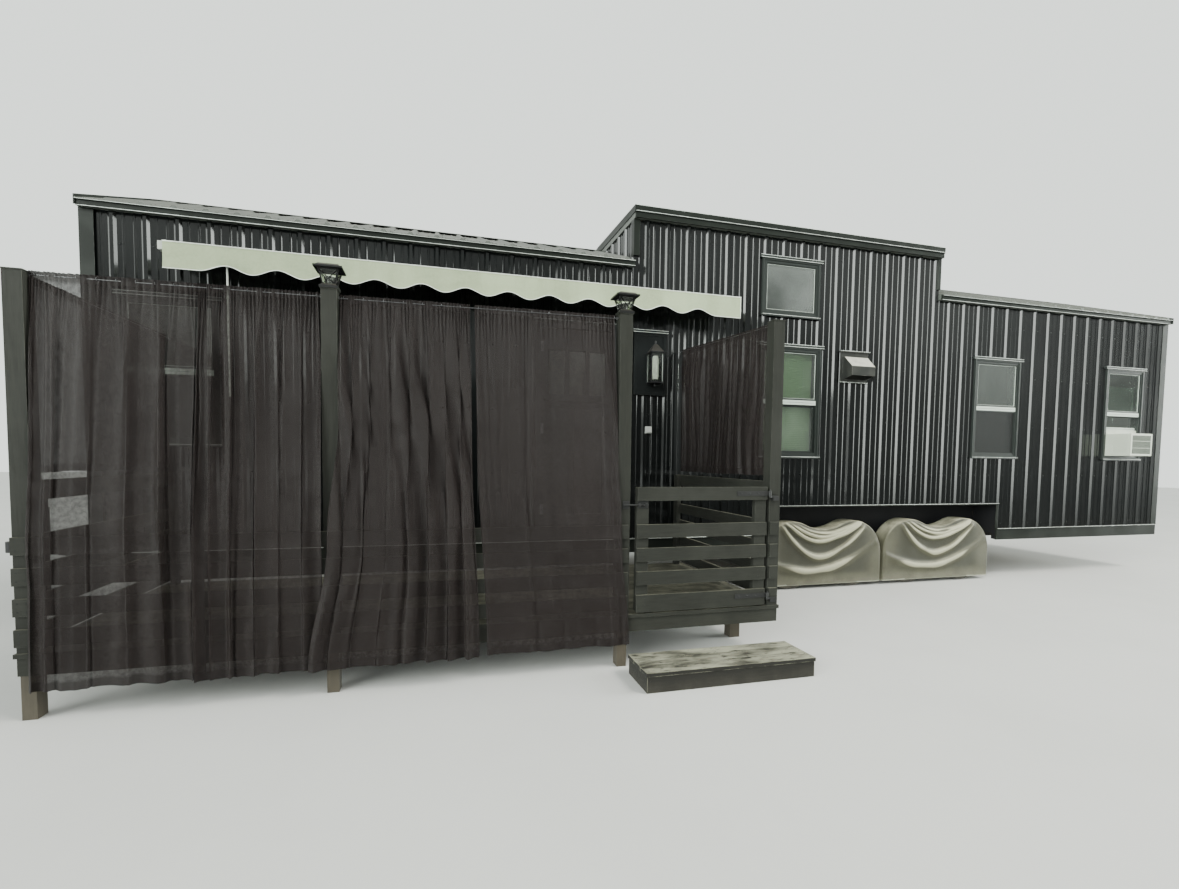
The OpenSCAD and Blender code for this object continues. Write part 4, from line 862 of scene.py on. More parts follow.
def blind_slats():
    """Closed slats on ladder cords, with a bottom rail."""
    low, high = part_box("window_blind")
    slats, cords = bmesh.new(), bmesh.new()
    pitch, slat, face = 0.0205, 0.0235, low.y - 0.003
    x0, x1 = low.x + 0.002, high.x - 0.002
    for i in range(int((high.z - low.z - 0.03) / pitch)):
        top = high.z - 0.004 - i * pitch
        add_grid(slats, 1, 4, lambda u, v: Vector((
            mix(x0, x1, u), face - 0.004 * v - 0.003 * math.sin(math.pi * v), top - slat * v)))
    add_block(slats, Vector((x0, low.y - 0.014, low.z)), Vector((x1, low.y - 0.002, low.z + 0.014)), 0.002)
    for share in (0.16, 0.5, 0.84):
        x = mix(low.x, high.x, share)
        add_rod(cords, Vector((x, low.y - 0.011, low.z)), Vector((x, low.y - 0.011, high.z)), 0.0009, 6)
    make_piece("blind_slats", slats, FINISHES["blind_vinyl"], soft=True, facing=False)
    make_piece("blind_cords", cords, PIPING)


window_sashes()
insect_screens()
blind_slats()


# door, conditioner, hood and wall lantern

def door_hardware():
    """Three hinges, a rubber seal around the leaf and a steel sill plate."""
    hinges, seal, sill = bmesh.new(), bmesh.new(), bmesh.new()
    x0, x1, z0, z1 = 3.700, 4.450, 0.760, 2.730
    for z in (0.95, 1.75, 2.55):
        for part in range(3):
            start = z - 0.05 + part * 0.034
            add_rod(hinges, at(x0 + 0.001, 0.024, start), at(x0 + 0.001, 0.024, start + 0.032), 0.0065, 12)
        add_block(hinges, at(x0 + 0.004, 0.0265, z - 0.05), at(x0 + 0.034, 0.0295, z + 0.05), 0.001)
        for step in (-0.032, 0.032):
            add_flush_screw(hinges, at(x0 + 0.02, 0.0265, z + step), FRONT)
    framed(seal, at, x0 - 0.002, x1 + 0.002, z0 - 0.002, z1 + 0.002, 0.007, 0.022, 0.0295)
    add_block(sill, at(x0, -0.0085, z0 - 0.02), at(x1, 0.0295, z0 - 0.016), 0.001)
    make_piece("door_hinges", hinges, FINISHES["wire_steel"])
    make_piece("door_seal", seal, SEAL_RUBBER)
    make_piece("door_sill_plate", sill, FINISHES["wire_steel"])


def conditioner_details():
    """The coil behind its fins inside a pale frame, and the fine louvres of the side."""
    x0, x1, z0, z1 = 11.382, 11.777, 1.580, 1.870
    front, side = -0.272, 11.382
    pale, fins = bmesh.new(), bmesh.new()
    framed(pale, at, x0 + 0.002, x1 - 0.002, z0 + 0.002, z1 - 0.002, 0.024, front - 0.005, front + 0.002)
    add_block(fins, at(x0 + 0.025, front - 0.001, z0 + 0.025), at(x1 - 0.025, front + 0.0005, z1 - 0.025))
    for x in places(x0 + 0.03, x1 - 0.028, 0.0055):
        add_block(fins, at(x, front - 0.004, z0 + 0.025), at(x + 0.0016, front, z1 - 0.025))
    for z in (z0 + 0.1, z0 + 0.19):
        add_block(pale, at(x0 + 0.02, front - 0.0045, z), at(x1 - 0.02, front - 0.0035, z + 0.004))
    for z in places(z0 + 0.16, z1 - 0.03, 0.009):
        add_block(pale, at(side - 0.0025, -0.25, z), at(side, -0.06, z + 0.003))
    for z, top in ((z0 + 0.02, z0 + 0.03), (z1 - 0.03, z1 - 0.02)):
        add_block(pale, at(side - 0.003, -0.262, z), at(side, -0.03, top))
    make_piece("conditioner_frame", pale, FINISHES["ac_plastic"])
    make_piece("conditioner_fins", fins, COIL_GREY)


def hood_details():
    """Flange screws, and guard bars under the hood."""
    bm = bmesh.new()
    for x in (7.145, 7.315, 7.485):
        for z in (2.378, 2.688):
            add_screw(bm, at(x, -0.011, z), FRONT, 0.0035)
    for i in range(9):
        x = 7.190 + i * 0.031
        add_rod(bm, at(x, -0.150, 2.418), at(x, -0.022, 2.394), 0.0022, 8)
    make_piece("hood_screws_and_guard", bm, SCREW_PAINTED)


def wall_lantern_details():
    """A frosted inner chimney that narrows at both ends, and thin bright beads beside the panes."""
    x, y, half = 4.8455, -0.110, 0.057
    chimney, beads = bmesh.new(), bmesh.new()
    ring = 28
    low, high, radius = 2.262, 2.495, 0.034
    rows = [(low, radius * 0.8), (low + 0.03, radius), (high - 0.04, radius), (high, radius * 0.72)]
    angles = [math.tau * k / ring for k in range(ring)]
    rings = [[chimney.verts.new(at(x + r * math.cos(a), y + r * math.sin(a), z)) for a in angles]
             for z, r in rows]
    for one, two in zip(rings, rings[1:]):
        join_rings(chimney, one, two)
    for sx in (-1, 1):
        for sy in (-1, 1):
            bead_x, bead_y = x + sx * (half - 0.001), y + sy * (half - 0.001)
            add_rod(beads, at(bead_x, bead_y, 2.238), at(bead_x, bead_y, 2.518), 0.0022, 8)
    make_piece("lantern_chimney", chimney, FROSTED, soft=True)
    make_piece("lantern_beads", beads, SASH_STRIP)


door_hardware()
conditioner_details()
hood_details()
wall_lantern_details()


# lanterns on the posts

POST_SIDE = 0.089
POST_EDGES = (0.549, 2.067, 3.932, 5.120)
WIRE_Y = -1.6855
LANTERN_LOW, LANTERN_HIGH = 2.472, 2.552
# half widths of a lantern at the foot and the top of its sloping sides, and how high these are
LANTERN_FOOT, LANTERN_TOP, LANTERN_SIDE = 0.038, 0.060, 0.086


def post_lantern_details():
    """Crossed bars over clear panes on the four sloping sides."""
    braces, panes = bmesh.new(), bmesh.new()
    for edge in POST_EDGES[1:3]:
        middle = at(edge + POST_SIDE / 2, WIRE_Y, 0)
        for quarter in range(4):
            turn = Matrix.Rotation(quarter * math.pi / 2, 3, "Z")

            def side_point(across, inset, z):
                reach = mix(LANTERN_FOOT, LANTERN_TOP, (z - LANTERN_LOW) / LANTERN_SIDE)
                flat = Vector((across * (reach - 0.006), inset - reach, 0))
                return middle + turn @ flat + Vector((0, 0, z))

            for way in (-1, 1):
                start, end = side_point(-way, 0.0035, LANTERN_LOW), side_point(way, 0.0035, LANTERN_HIGH)
                add_rod(braces, start, end, 0.0028, 8)
            corners = ((-1, LANTERN_LOW), (1, LANTERN_LOW), (1, LANTERN_HIGH), (-1, LANTERN_HIGH))
            outer, inner = ([panes.verts.new(side_point(across, inset, z)) for across, z in corners]
                            for inset in (0.0085, 0.0105))
            panes.faces.new(outer)
            panes.faces.new(list(reversed(inner)))
            for k in range(4):
                after = (k + 1) % 4
                panes.faces.new((outer[k], inner[k], inner[after], outer[after]))
    make_piece("post_lantern_braces", braces, FINISHES["post_lantern_plastic"])
    make_piece("post_lantern_panes", panes, FINISHES["lantern_pane"])


post_lantern_details()


# screws and nails of the deck, railings, gate and step

SLAT_TOPS = (1.000, 0.8343, 0.6686, 0.5029)
SLAT_FACE_Y = -1.749
GATE_TOP = 1.262
GATE_LEFT, GATE_RIGHT = 4.071, 5.090
# the two screws of a slat, below its top
DROPS = (0.024, 0.071)


def slat_screws():
    """Two screws where a slat crosses a post, and where a gate slat crosses a stile."""
    fixed, moving, sides = bmesh.new(), bmesh.new(), bmesh.new()
    for top in SLAT_TOPS:
        for drop in DROPS:
            for edge in POST_EDGES[:3]:
                for inset in (0.022, 0.062):
                    add_flush_screw(fixed, at(edge + inset, SLAT_FACE_Y, top - drop), FRONT)
            for inset in (0.022, 0.060):
                add_flush_screw(fixed, at(POST_EDGES[3] + inset, SLAT_FACE_Y, top - drop), FRONT)
            for y in (-1.62, -0.075):
                add_flush_screw(sides, at(POST_EDGES[3] + 0.057, y, top - drop), RIGHT)
                add_flush_screw(sides, at(POST_EDGES[0] + 0.032, y, top - drop), LEFT)
    for top in SLAT_TOPS + (GATE_TOP,):
        for drop in DROPS:
            for x in (GATE_LEFT + 0.025, GATE_LEFT + 0.065, GATE_RIGHT - 0.065, GATE_RIGHT - 0.025):
                add_flush_screw(moving, at(x, SLAT_FACE_Y, top - drop), FRONT)
    make_piece("railing_screws", fixed, SCREW_PAINTED)
    make_piece("side_railing_screws", sides, SCREW_PAINTED)
    make_piece("gate_slat_screws", moving, SCREW_PAINTED, body=GATE)


def strap_screws():
    """Round-headed screws through the gate's hinge straps and the bolt's plate."""
    straps, plate = bmesh.new(), bmesh.new()
    for z in (1.2145, 0.4554):
        for x in (4.87, 4.94, 5.01):
            add_rod(straps, at(x, SLAT_FACE_Y - 0.0042, z), at(x, SLAT_FACE_Y - 0.0068, z), 0.006, 12, 0.0035)
    for x in (4.082, 4.147):
        for z in (1.120, 1.156):
            add_rod(plate, at(x, -1.7338, z), at(x, -1.7358, z), 0.003, 10, 0.002)
    make_piece("strap_screws", straps, FINISHES["gate_iron"], body=GATE)
    make_piece("bolt_plate_screws", plate, FINISHES["gate_iron"], body=GATE)


def deck_screws():
    """Two screws in each board over each joist. The first board's outer screws lie over its middle."""
    bm = bmesh.new()
    low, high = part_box("deck_boards")
    frame_low, frame_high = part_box("deck_frame")
    boards, joists = 12, 10
    board = (high.y - low.y) / boards
    rim = 0.038
    for i in range(joists + 1):
        x = mix(frame_low.x + rim / 2, frame_high.x - rim / 2, i / joists)
        for k in range(boards):
            for share in (0.25, 0.75):
                y = low.y + (k + share) * board
                if k == 0 and share < 0.5:
                    y = low.y + 0.5 * board
                add_flush_screw(bm, Vector((x, y, high.z)), UP)
    make_piece("deck_screws", bm, SCREW_PAINTED)


def step_nails():
    """Nails through the step's three boards and its front."""
    bm = bmesh.new()
    low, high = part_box("box_step")
    board = (high.y - low.y + 0.004) / 3
    for k in range(3):
        for share in (0.25, 0.75):
            y = low.y + (k + share) * board
            for x in (low.x + 0.025, mix(low.x, high.x, 0.5), high.x - 0.025):
                add_flush_screw(bm, Vector((x, y, high.z)), UP)
    for x in (low.x + 0.028, high.x - 0.028):
        for z in (0.03, 0.075):
            add_flush_screw(bm, Vector((x, low.y + 0.006, z)), FRONT)
    make_piece("step_nails", bm, SCREW_PAINTED)


slat_screws()
strap_screws()
deck_screws()
step_nails()


# curtains

slat_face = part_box("front_railing")[0].y
slat_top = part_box("front_railing")[1].z
curtain_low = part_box("front_curtains")[0].z
bend_z = slat_top + 0.03
CURTAIN_GAP = 0.014
# ends of the two front wires: place along the front and height
FRONT_WIRES = (((0.638, 2.393), (2.067, 2.403)), ((2.156, 2.400), (3.932, 2.415)))
# packing creases that still show across the panels
CREASES = (1.662, 1.330, 0.905)


def wire_height(x):
    """Height of the front wire over a place along the front."""
    (x0, z0), (x1, z1) = FRONT_WIRES[0] if x < 2.11 else FRONT_WIRES[1]
    return mix(z0, z1, min(1.0, max(0.0, (x - x0) / (x1 - x0))))


def edge_line(*points):
    """A curtain's edge through points of height and place, from the top down."""
    def edge(z):
        for (z0, x0), (z1, x1) in zip(points, points[1:]):
            if z >= z1:
                return mix(x0, x1, smooth_step(z0 - z, 0.0, z0 - z1))
        return points[-1][1]
    return edge


def bunched(u, left, right):
    """Crowds the cloth towards its left or right edge."""
    return u - left * u * (1 - u) ** 2 + right * (1 - u) * u ** 2


def mark_points(piece, title, values):
    """Gives each point of a piece a value that its finish reads."""
    piece.data.attributes.new(title, "FLOAT", "POINT").data.foreach_set("value", values)


def sheer_panel(name, columns, rows, place, side_hem, end_hem=3):
    """A sheer sheet. Its doubled edges are marked: side hems, the lower hem and the pocket at the wire."""
    bm = bmesh.new()
    add_grid(bm, columns, rows, place)
    panel = make_piece(name, bm, FINISHES["curtain_cloth"], soft=True, facing=False)
    mark_points(panel, "hem", [1.0 if min(c, columns - c) < side_hem or min(r, rows - r) < end_hem else 0.0
                               for r in range(rows + 1) for c in range(columns + 1)])
    return panel


def fold_depth(u, v, folds, lean, seed):
    """Depth of large uneven folds from 0 to about 1. They drift sideways by lean on their way down."""
    drift = lean * smooth_step(v, 0.0, 0.65) + 0.045 * ruffle(u * 2.3, v * 1.7, seed)
    phase = math.tau * (folds * (u - drift) + 0.55 * ruffle(u * folds * 0.8, 0.4 * v, seed + 1))
    swell = 0.55 + 0.75 * ruffle(u * folds * 0.5, 0.9 * v, seed + 2)
    return (0.5 + 0.5 * math.cos(phase)) ** 1.4 * max(0.12, swell)


def creases(z, u, seed):
    """Shallow sharp lines where the cloth was folded in its packet."""
    depth = 0.0
    for i, height in enumerate(CREASES):
        off = z - height - 0.006 * ruffle(u * 2, i, seed)
        depth += 0.007 * math.exp(-(off / 0.008) ** 2) * (0.6 + 0.4 * ruffle(u * 5, i * 3, seed + 4))
    return depth


def front_panel(name, left, right, folds, fullness, lean, bunch, out, seed):
    """A sheer panel gathered on the wire, which drapes out over the slats and hangs in front of them."""
    def place(u, v):
        # where the point hangs
        share = bunched(u, *bunch)
        wire_z = wire_height(mix(left(9.0), right(9.0), share))
        z = mix(wire_z + 0.020, curtain_low + 0.008 * ruffle(u * 6, 0, seed), v)
        x = mix(left(z), right(z), share)
        drop = wire_z - z
        hang = smooth_step(drop, 0.0, 0.45)
        # how far its folds stand out
        large = fold_depth(u, v, folds, lean, seed)
        middle = fold_depth(u, v, folds * 2.6, lean, seed + 20)
        pleats = 0.5 + 0.5 * math.cos(math.tau * (34 * u + 0.8 * ruffle(u * 16, 0, seed + 5)))
        gather = 0.012 * pleats * math.exp(-max(0.0, drop) / 0.20) * min(1.0, abs(drop) / 0.012)
        depth = fullness * mix(0.25, 1.0, hang) * (large + 0.3 * middle)
        crumple = 0.004 * ruffle(u * 24, v * 26, seed + 6) + 0.006 * ruffle(u * 6, v * 9, seed + 7)
        # the cloth leans from the wire to the slats, then hangs in front of them
        rest = slat_face - CURTAIN_GAP - mix(out[0], out[1], u)
        back = mix(corner.y + WIRE_Y + 0.004, rest, min(1.0, max(0.0, drop / (wire_z - bend_z))))
        edge_calm = smooth_step(min(u, 1 - u), 0.0, 0.03)
        sway = 0.45 * fullness * math.sin(math.tau * (folds * u + 0.2 * seed)) * hang * edge_calm
        return Vector((corner.x + x + sway, back - depth * mix(0.35, 1.0, edge_calm) - gather
                       - (crumple + creases(z, u, seed)) * hang, z))

    panel = sheer_panel(name, columns=300, rows=110, place=place, side_hem=5)
    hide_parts("front_curtains")


def front_curtains():
    front_panel("curtain_first_left", edge_line((2.5, 0.643), (1.55, 0.642), (0.94, 0.628), (0.16, 0.620)),
                edge_line((2.5, 1.470), (0.16, 1.450)),
                folds=6, fullness=0.046, lean=0.0, bunch=(0.75, 0.6), out=(0.0, 0.0), seed=1)
    front_panel("curtain_first_right", edge_line((2.5, 1.425), (0.16, 1.405)),
                edge_line((2.5, 2.062), (0.16, 2.062)),
                folds=6, fullness=0.044, lean=0.0, bunch=(0.5, 0.0), out=(0.034, 0.0), seed=2)
    front_panel("curtain_second_left", edge_line((2.5, 2.161), (1.66, 2.160), (0.94, 2.100), (0.16, 1.985)),
                edge_line((2.5, 2.932), (1.6, 2.940), (0.16, 2.992)),
                folds=8, fullness=0.042, lean=0.16, bunch=(0.2, 0.5), out=(0.030, 0.006), seed=3)
    front_panel("curtain_second_right", edge_line((2.5, 2.962), (1.6, 2.975), (0.16, 3.040)),
                edge_line((2.5, 3.902), (1.53, 3.927), (0.94, 3.950), (0.16, 4.015)),
                folds=5, fullness=0.022, lean=0.02, bunch=(0.35, 0.3), out=(0.0, 0.0), seed=4)


def side_panel(name, x, front_top, back_top, seed):
    """A short sheer panel on the sloping side wire."""
    low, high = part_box("side_curtains")

    def place(u, v):
        y = mix(low.y, high.y, u)
        top = mix(front_top, back_top, u)
        z = mix(top + 0.014, low.z + 0.01 * ruffle(u * 5, 0, seed), v)
        drop = top - z
        hang = smooth_step(drop, 0.0, 0.3)
        large = fold_depth(u, v, 9, 0.02, seed)
        middle = fold_depth(u, v, 24, 0.02, seed + 20)
        pleats = math.cos(math.tau * (52 * u + 0.8 * ruffle(u * 16, 0, seed + 5)))
        depth = 0.032 * mix(0.3, 1.0, hang) * (large + 0.35 * middle - 0.5)
        depth += 0.005 * pleats * math.exp(-max(0.0, drop) / 0.12) * min(1.0, abs(drop) / 0.012)
        sway = 0.008 * math.sin(math.tau * 9 * u) * hang * smooth_step(min(u, 1 - u), 0.0, 0.04)
        return Vector((x + depth + 0.003 * ruffle(u * 18, v * 16, seed + 2) * hang, y + sway, z))

    panel = sheer_panel(name, columns=200, rows=56, place=place, side_hem=4)
    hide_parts("side_curtains")


def side_curtains():
    low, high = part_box("side_curtains")
    side_panel("curtain_side_left", low.x + 0.004, front_top=2.400, back_top=2.406, seed=11)
    side_panel("curtain_side_right", high.x - 0.004, front_top=2.472, back_top=2.571, seed=12)


def wire_fittings():
    """Screw eyes at the ends of the wires, and the curtains' small rings."""
    eyes, rings = bmesh.new(), bmesh.new()
    turns = 18

    def ring(bm, centre, axis, radius, thickness):
        side = axis.orthogonal().normalized()
        other = axis.cross(side)
        add_tube(bm, [centre + radius * (math.cos(a) * side + math.sin(a) * other)
                      for a in (math.tau * k / turns for k in range(turns))], thickness, 6, closed=True)

    for (x0, z0), (x1, z1) in FRONT_WIRES:
        for x, z, way in ((x0, z0, RIGHT), (x1, z1, LEFT)):
            start = at(x, WIRE_Y, z + 0.004)
            add_rod(eyes, start, start + way * 0.006, 0.005, 10)
            ring(eyes, start + way * 0.012 + Vector((0, 0, -0.003)), FRONT, 0.008, 0.0014)
        for i in range(16):
            x = mix(x0 + 0.03, x1 - 0.03, i / 15)
            ring(rings, at(x, WIRE_Y, wire_height(x) + 0.003), RIGHT, 0.0075, 0.0012)
    make_piece("wire_eyes", eyes, FINISHES["wire_steel"])
    make_piece("curtain_rings", rings, FINISHES["wire_steel"])


front_curtains()
side_curtains()
wire_fittings()


# awning edge

PLAIN_LEFT, PLAIN_RIGHT = 0.243, 0.277
WAVES = 12
WAVE_HEIGHT = 0.054


def valance():
    """The scalloped strip under the front bar, with corded edges."""
    low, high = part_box("awning_valance")
    first, last = low.x + PLAIN_LEFT, high.x - PLAIN_RIGHT

    def bottom(x):
        if not first < x < last:
            return low.z
        turn = math.tau * WAVES * (x - first) / (last - first)
        return low.z + WAVE_HEIGHT * (1 - math.cos(turn)) / 2

    def place(u, v):
        x = mix(low.x, high.x, u)
        sway = (0.006 * ruffle(u * 26 + v * 1.4, v, 21) + 0.010 * ruffle(u * 9 - v * 0.8, v, 22)) * v
        return Vector((x, low.y + 0.001 - abs(sway), mix(high.z, bottom(x), v)))

    bm = bmesh.new()
    add_grid(bm, 620, 14, place)
    finish = FINISHES["awning_cloth"]
    cloth = make_piece("awning_scalloped_edge", bm, finish, soft=True, facing=False)
    solid = cloth.modifiers.new("thickness", "SOLIDIFY")
    solid.thickness = 0.0016
    solid.offset = 0
    bm = bmesh.new()
    add_tube(bm, [place(i / 480, 1.0) + Vector((0, -0.001, 0.003)) for i in range(481)], 0.0036, 6)
    add_tube(bm, [place(i / 60, 0.0) + Vector((0, -0.002, -0.004)) for i in range(61)], 0.0040, 6)
    add_tube(bm, [place(1.0, i / 8) + Vector((-0.003, -0.002, 0)) for i in range(9)], 0.0030, 6)
    piping = make_piece("awning_edge_piping", bm, PIPING, soft=True)
    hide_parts("awning_valance")


valance()


# tyre covers

AXLE_HEIGHT = 0.385
SADDLE_HEIGHT = 0.680
SADDLE_REACH = 0.243
# swags of the covers: height of their lowest place, its shift, thickness, depth, rise to the left and right
SWAGS = ((0.640, -0.010, 0.012, 0.028, 0.15, 0.10), (0.600, -0.040, 0.013, 0.036, 0.17, 0.10),
         (0.548, -0.070, 0.015, 0.042, 0.20, 0.11), (0.370, -0.060, 0.024, 0.036, 0.26, 0.17),
         (0.215, -0.150, 0.030, 0.032, 0.07, 0.085))
# across this the swags rise by their two rises, and at this depth a fold has its full painted highlight
SWAG_REACH = 0.41
FULL_FOLD = 0.026


def resample(points, count):
    """Points spread evenly along a line of points."""
    lengths = [0.0]
    for a, b in zip(points, points[1:]):
        lengths.append(lengths[-1] + (b - a).length)
    spread, k = [], 0
    for i in range(count + 1):
        run = lengths[-1] * i / count
        while k < len(points) - 2 and lengths[k + 1] < run:
            k += 1
        spread.append(points[k].lerp(points[k + 1], (run - lengths[k]) / (lengths[k + 1] - lengths[k])))
    return spread


def cover_outline(low, high):
    """The line over both tyres, with a saddle between them, from lower left to lower right."""
    radius = high.z - AXLE_HEIGHT
    first, second = low.x + radius, high.x - radius
    middle = (first + second) / 2

    def top(x):
        away = abs(x - middle)
        beside = min(abs(x - first), abs(x - second))
        if away > SADDLE_REACH:
            return AXLE_HEIGHT + math.sqrt(max(0.0, radius ** 2 - beside ** 2))
        lip = AXLE_HEIGHT + math.sqrt(radius ** 2 - ((second - first) / 2 - SADDLE_REACH) ** 2)
        return SADDLE_HEIGHT + (lip - SADDLE_HEIGHT) * (away / SADDLE_REACH) ** 2

    quarter = [math.pi / 2 * i / 24 for i in range(25)]
    points = [(low.x, low.z)]
    points += [(first - radius * math.cos(a), AXLE_HEIGHT + radius * math.sin(a)) for a in quarter]
    points += [(x, top(x)) for x in (mix(first, second, i / 60) for i in range(1, 60))]
    points += [(second + radius * math.sin(a), AXLE_HEIGHT + radius * math.cos(a)) for a in quarter]
    points += [(high.x, low.z)]
    return [Vector((x, 0, z)) for x, z in points]


def swag_depth(x, z, middle, seed):
    """How far the swags stand proud of the face. They hang steeply on the left and run far to the right."""
    depth = 0.0
    for i, (height, shift, thickness, size, left_rise, right_rise) in enumerate(SWAGS):
        across = (x - middle - shift) / SWAG_REACH
        rise = left_rise if across < 0 else right_rise
        line = height + rise * min(2.4, abs(across)) ** 1.8 + 0.008 * ruffle(across * 2, i, seed)
        off = (z - line) / thickness
        ridge = math.exp(-off ** 2) if off > 0 else math.exp(-(off / 2.0) ** 2)
        reach = (0.85 if across < 0 else 1.35) + 0.15 * i
        fade = math.exp(-(abs(across) / reach) ** 4) * (0.8 + 0.4 * ruffle(across * 1.5, i * 2.0, seed + 3))
        depth += size * ridge * fade
    return depth


def tyre_cover(name, low, high, rear, seed):
    """One coated cloth shell over two tyres: a band around them and a face that swags between them."""
    outline = resample(cover_outline(low, high), 220)
    middle = (low.x + high.x) / 2
    front, back = (high.y, low.y) if rear else (low.y, high.y)
    outward = 1 if rear else -1
    turn_in = 0.022
    band_rows, face_rows = 14, 70
    columns, rows = len(outline) - 1, band_rows + face_rows

    def place(u, v):
        i = round(u * columns)
        edge = outline[i]
        before, after = outline[max(0, i - 1)], outline[min(columns, i + 1)]
        along = (after - before).normalized()
        normal = Vector((-along.z, 0, along.x))
        r = v * rows
        if r < band_rows:
            t = r / band_rows
            pucker = 0.003 * ruffle(u * 30, t * 2, seed) * (1 - t)
            return edge + normal * pucker + Vector((0, mix(back, front - outward * turn_in, t), 0))
        t = (r - band_rows) / face_rows
        t = t ** 1.25
        foot = Vector((mix(low.x, high.x, u), 0, low.z))
        point = edge.lerp(foot, t)
        inside = (point - edge).length
        round_over = math.sqrt(max(0.0, 1 - (1 - min(1.0, inside / turn_in)) ** 2))
        calm = smooth_step(inside, 0.005, 0.07) * smooth_step(point.z, low.z - 0.02, low.z + 0.16)
        depth = swag_depth(point.x, point.z, middle, seed) * calm
        depth += (0.004 * ruffle(point.x * 6, point.z * 5, seed + 1) + 0.004) * calm
        return point + Vector((0, front - outward * turn_in * (1 - round_over) + outward * depth, 0))

    bm = bmesh.new()
    add_grid(bm, columns, rows, place)
    cover = make_piece(name, bm, FINISHES["cover_cloth"], soft=True)
    points = [vert.co for vert in cover.data.vertices]
    hems = [1.0 if point.z < low.z + 0.010 else 0.0 for point in points]
    # painted shading of the swags: light where they stand proud, dark between them, neutral near the edges
    # and the foot
    proud = [swag_depth(point.x, point.z, middle, seed) / FULL_FOLD for point in points]
    half = (high.x - low.x) / 2
    inside = [smooth_step(abs(point.x - middle), half * 0.96, half * 0.6) * smooth_step(point.z, 0.10, 0.22)
              for point in points]
    shade = [mix(0.5, min(1.0, 0.15 + depth), share) for depth, share in zip(proud, inside)]
    mark_points(cover, "hem", hems)
    mark_points(cover, "fold_painted_shade", shade)
    solid = cover.modifiers.new("thickness", "SOLIDIFY")
    solid.thickness = 0.0014
    solid.offset = 0
    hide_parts("tyre_covers")


def tyre_covers():
    for number, (low, high) in enumerate(solids("tyre_covers")):
        rear = low.y > corner.y + house_width / 2
        side = "rear" if rear else "front"
        tyre_cover(f"tyre_cover_{side}_{number // 2 + 1}", low, high, rear, 31 + number)


tyre_covers()


# camera, light and floor

# the camera as it was fitted to the wall, the roof lines and the posts
EYE = at(2.7389, -5.3009, 1.45)
YAW = math.radians(15.0110)
PITCH = math.radians(-2.9232)
ROLL = math.radians(0.6843)
LENS = 16.693
SHIFT = (0.0037, 0.03624)


def place_camera():
    data = bpy.data.cameras.new("camera")
    data.sensor_fit = "HORIZONTAL"
    data.sensor_width = 36
    data.lens = LENS
    data.shift_x, data.shift_y = SHIFT
    data.clip_end = 200
    camera = bpy.data.objects.new("camera", data)
    ahead = Vector((math.sin(YAW) * math.cos(PITCH), math.cos(YAW) * math.cos(PITCH), math.sin(PITCH)))
    side = Vector((math.cos(YAW), -math.sin(YAW), 0))
    above = side.cross(ahead)
    right = math.cos(ROLL) * side + math.sin(ROLL) * above
    up = math.cos(ROLL) * above - math.sin(ROLL) * side
    turn = Matrix((right, up, -ahead)).transposed().to_4x4()
    camera.matrix_world = Matrix.Translation(EYE) @ turn
    bpy.context.scene.collection.objects.link(camera)
    bpy.context.scene.camera = camera


# sides of the studio's light, in degrees from straight before the house to its right: where each part
# begins, is full, is last full and ends
WIDE_LEFT_PANEL = (-98, -90, -74, -66)
LEFT_PANEL = (-74, -66, -38, -32)
RIGHT_PANEL = (64, 70, 96, 102)
DIM_SECTOR = (-100, -90, 70, 98)


def area_light(name, place, target, size, watts, colour):
    """A soft light that stays out of reflections, which the studio's panels give."""
    data = bpy.data.lights.new(name, "AREA")
    data.shape = "RECTANGLE"
    data.size, data.size_y = size
    data.energy = watts
    data.color = colour
    light = bpy.data.objects.new(name, data)
    light.location = place
    light.rotation_euler = (target - place).to_track_quat("-Z", "Y").to_euler()
    light.visible_glossy = False
    bpy.context.scene.collection.objects.link(light)


def between(tree, value, start, full, last_full, end):
    """1 from full to last_full, falling to 0 at start and at end."""
    return math_node(tree, "MULTIPLY", ramp(tree, value, start, full), ramp(tree, value, end, last_full))


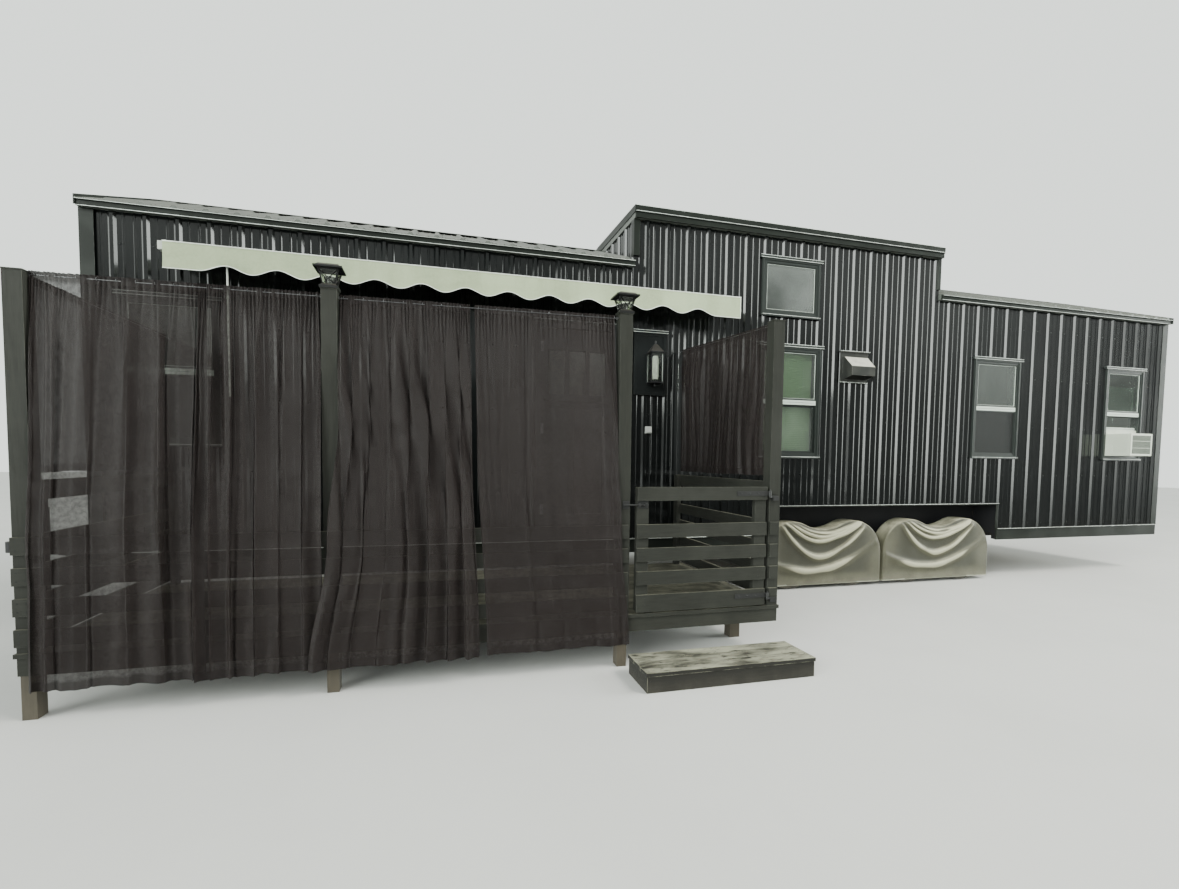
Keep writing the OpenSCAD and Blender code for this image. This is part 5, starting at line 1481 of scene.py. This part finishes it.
def studio():
    """A pale room. Before the house it is dim and uneven, with upright bright panels that light the ribs."""
    world = bpy.data.worlds.new("studio")
    world.use_nodes = True
    tree = world.node_tree
    way = tree.nodes.new("ShaderNodeTexCoord").outputs["Generated"]
    forward = multiply(tree, axis_of(tree, way, "Y"), -1.0)
    turn = math_node(tree, "ARCTAN2", axis_of(tree, way, "X"), forward)
    height = axis_of(tree, way, "Z")
    wide_left, left, right, dim_sector = (between(tree, turn, *map(math.radians, angles)) for angles in (
        WIDE_LEFT_PANEL, LEFT_PANEL, RIGHT_PANEL, DIM_SECTOR))
    left_panels = math_node(tree, "ADD", multiply(tree, wide_left, 0.3), left)
    panel_band = between(tree, height, -0.10, 0.02, 0.42, 0.62)
    panels = multiply(tree, math_node(tree, "ADD", left_panels, right), panel_band)
    dim_part = multiply(tree, dim_sector, ramp(tree, height, 0.8, 0.6))
    uneven = ramp(tree, cloud(tree, way, Scale=7.0, Detail=6.0, Roughness=0.6), 0.38, 0.62, 0.45, 1.5)
    dim = multiply(tree, ramp(tree, height, -0.05, 0.32, 0.2, 0.85), uneven)
    room = blend(tree, dim_part, 0.85, dim)
    lit = math_node(tree, "ADD", room, multiply(tree, panels, 14.0))
    seen = tree.nodes.new("ShaderNodeLightPath").outputs["Is Camera Ray"]
    background = tree.nodes["Background"]
    background.inputs["Color"].default_value = (0.92, 0.98, 0.93, 1)
    tree.links.new(blend(tree, seen, lit, 1.7), background.inputs["Strength"])
    bpy.context.scene.world = world
    area_light("key", Vector((8, -9, 14)), Vector((0, 0, 1)), (7, 5), 2600, (1.0, 0.98, 0.92))
    area_light("fill", Vector((-5, -11, 10)), Vector((0, 0, 1)), (8, 5), 400, (0.96, 0.99, 1.0))


def floor():
    """A plain pale floor."""
    bm = bmesh.new()
    reach = 45
    add_grid(bm, 4, 4, lambda u, v: Vector((mix(-reach, reach, u), mix(-reach, reach, v), -0.001)))
    mesh = bpy.data.meshes.new("studio_floor")
    bm.to_mesh(mesh)
    bm.free()
    finish = Finish("studio_floor", (0.62, 0.62, 0.6), 0.85)
    finish.layer(finish.effect(BLOTCHES, Scale=0.6)["Mask"], (0.58, 0.58, 0.56), 0.9, 0.6)
    mesh.materials.append(finish.done())
    plane = bpy.data.objects.new("studio_floor", mesh)
    plane.visible_glossy = False
    bpy.context.scene.collection.objects.link(plane)


place_camera()
studio()
floor()
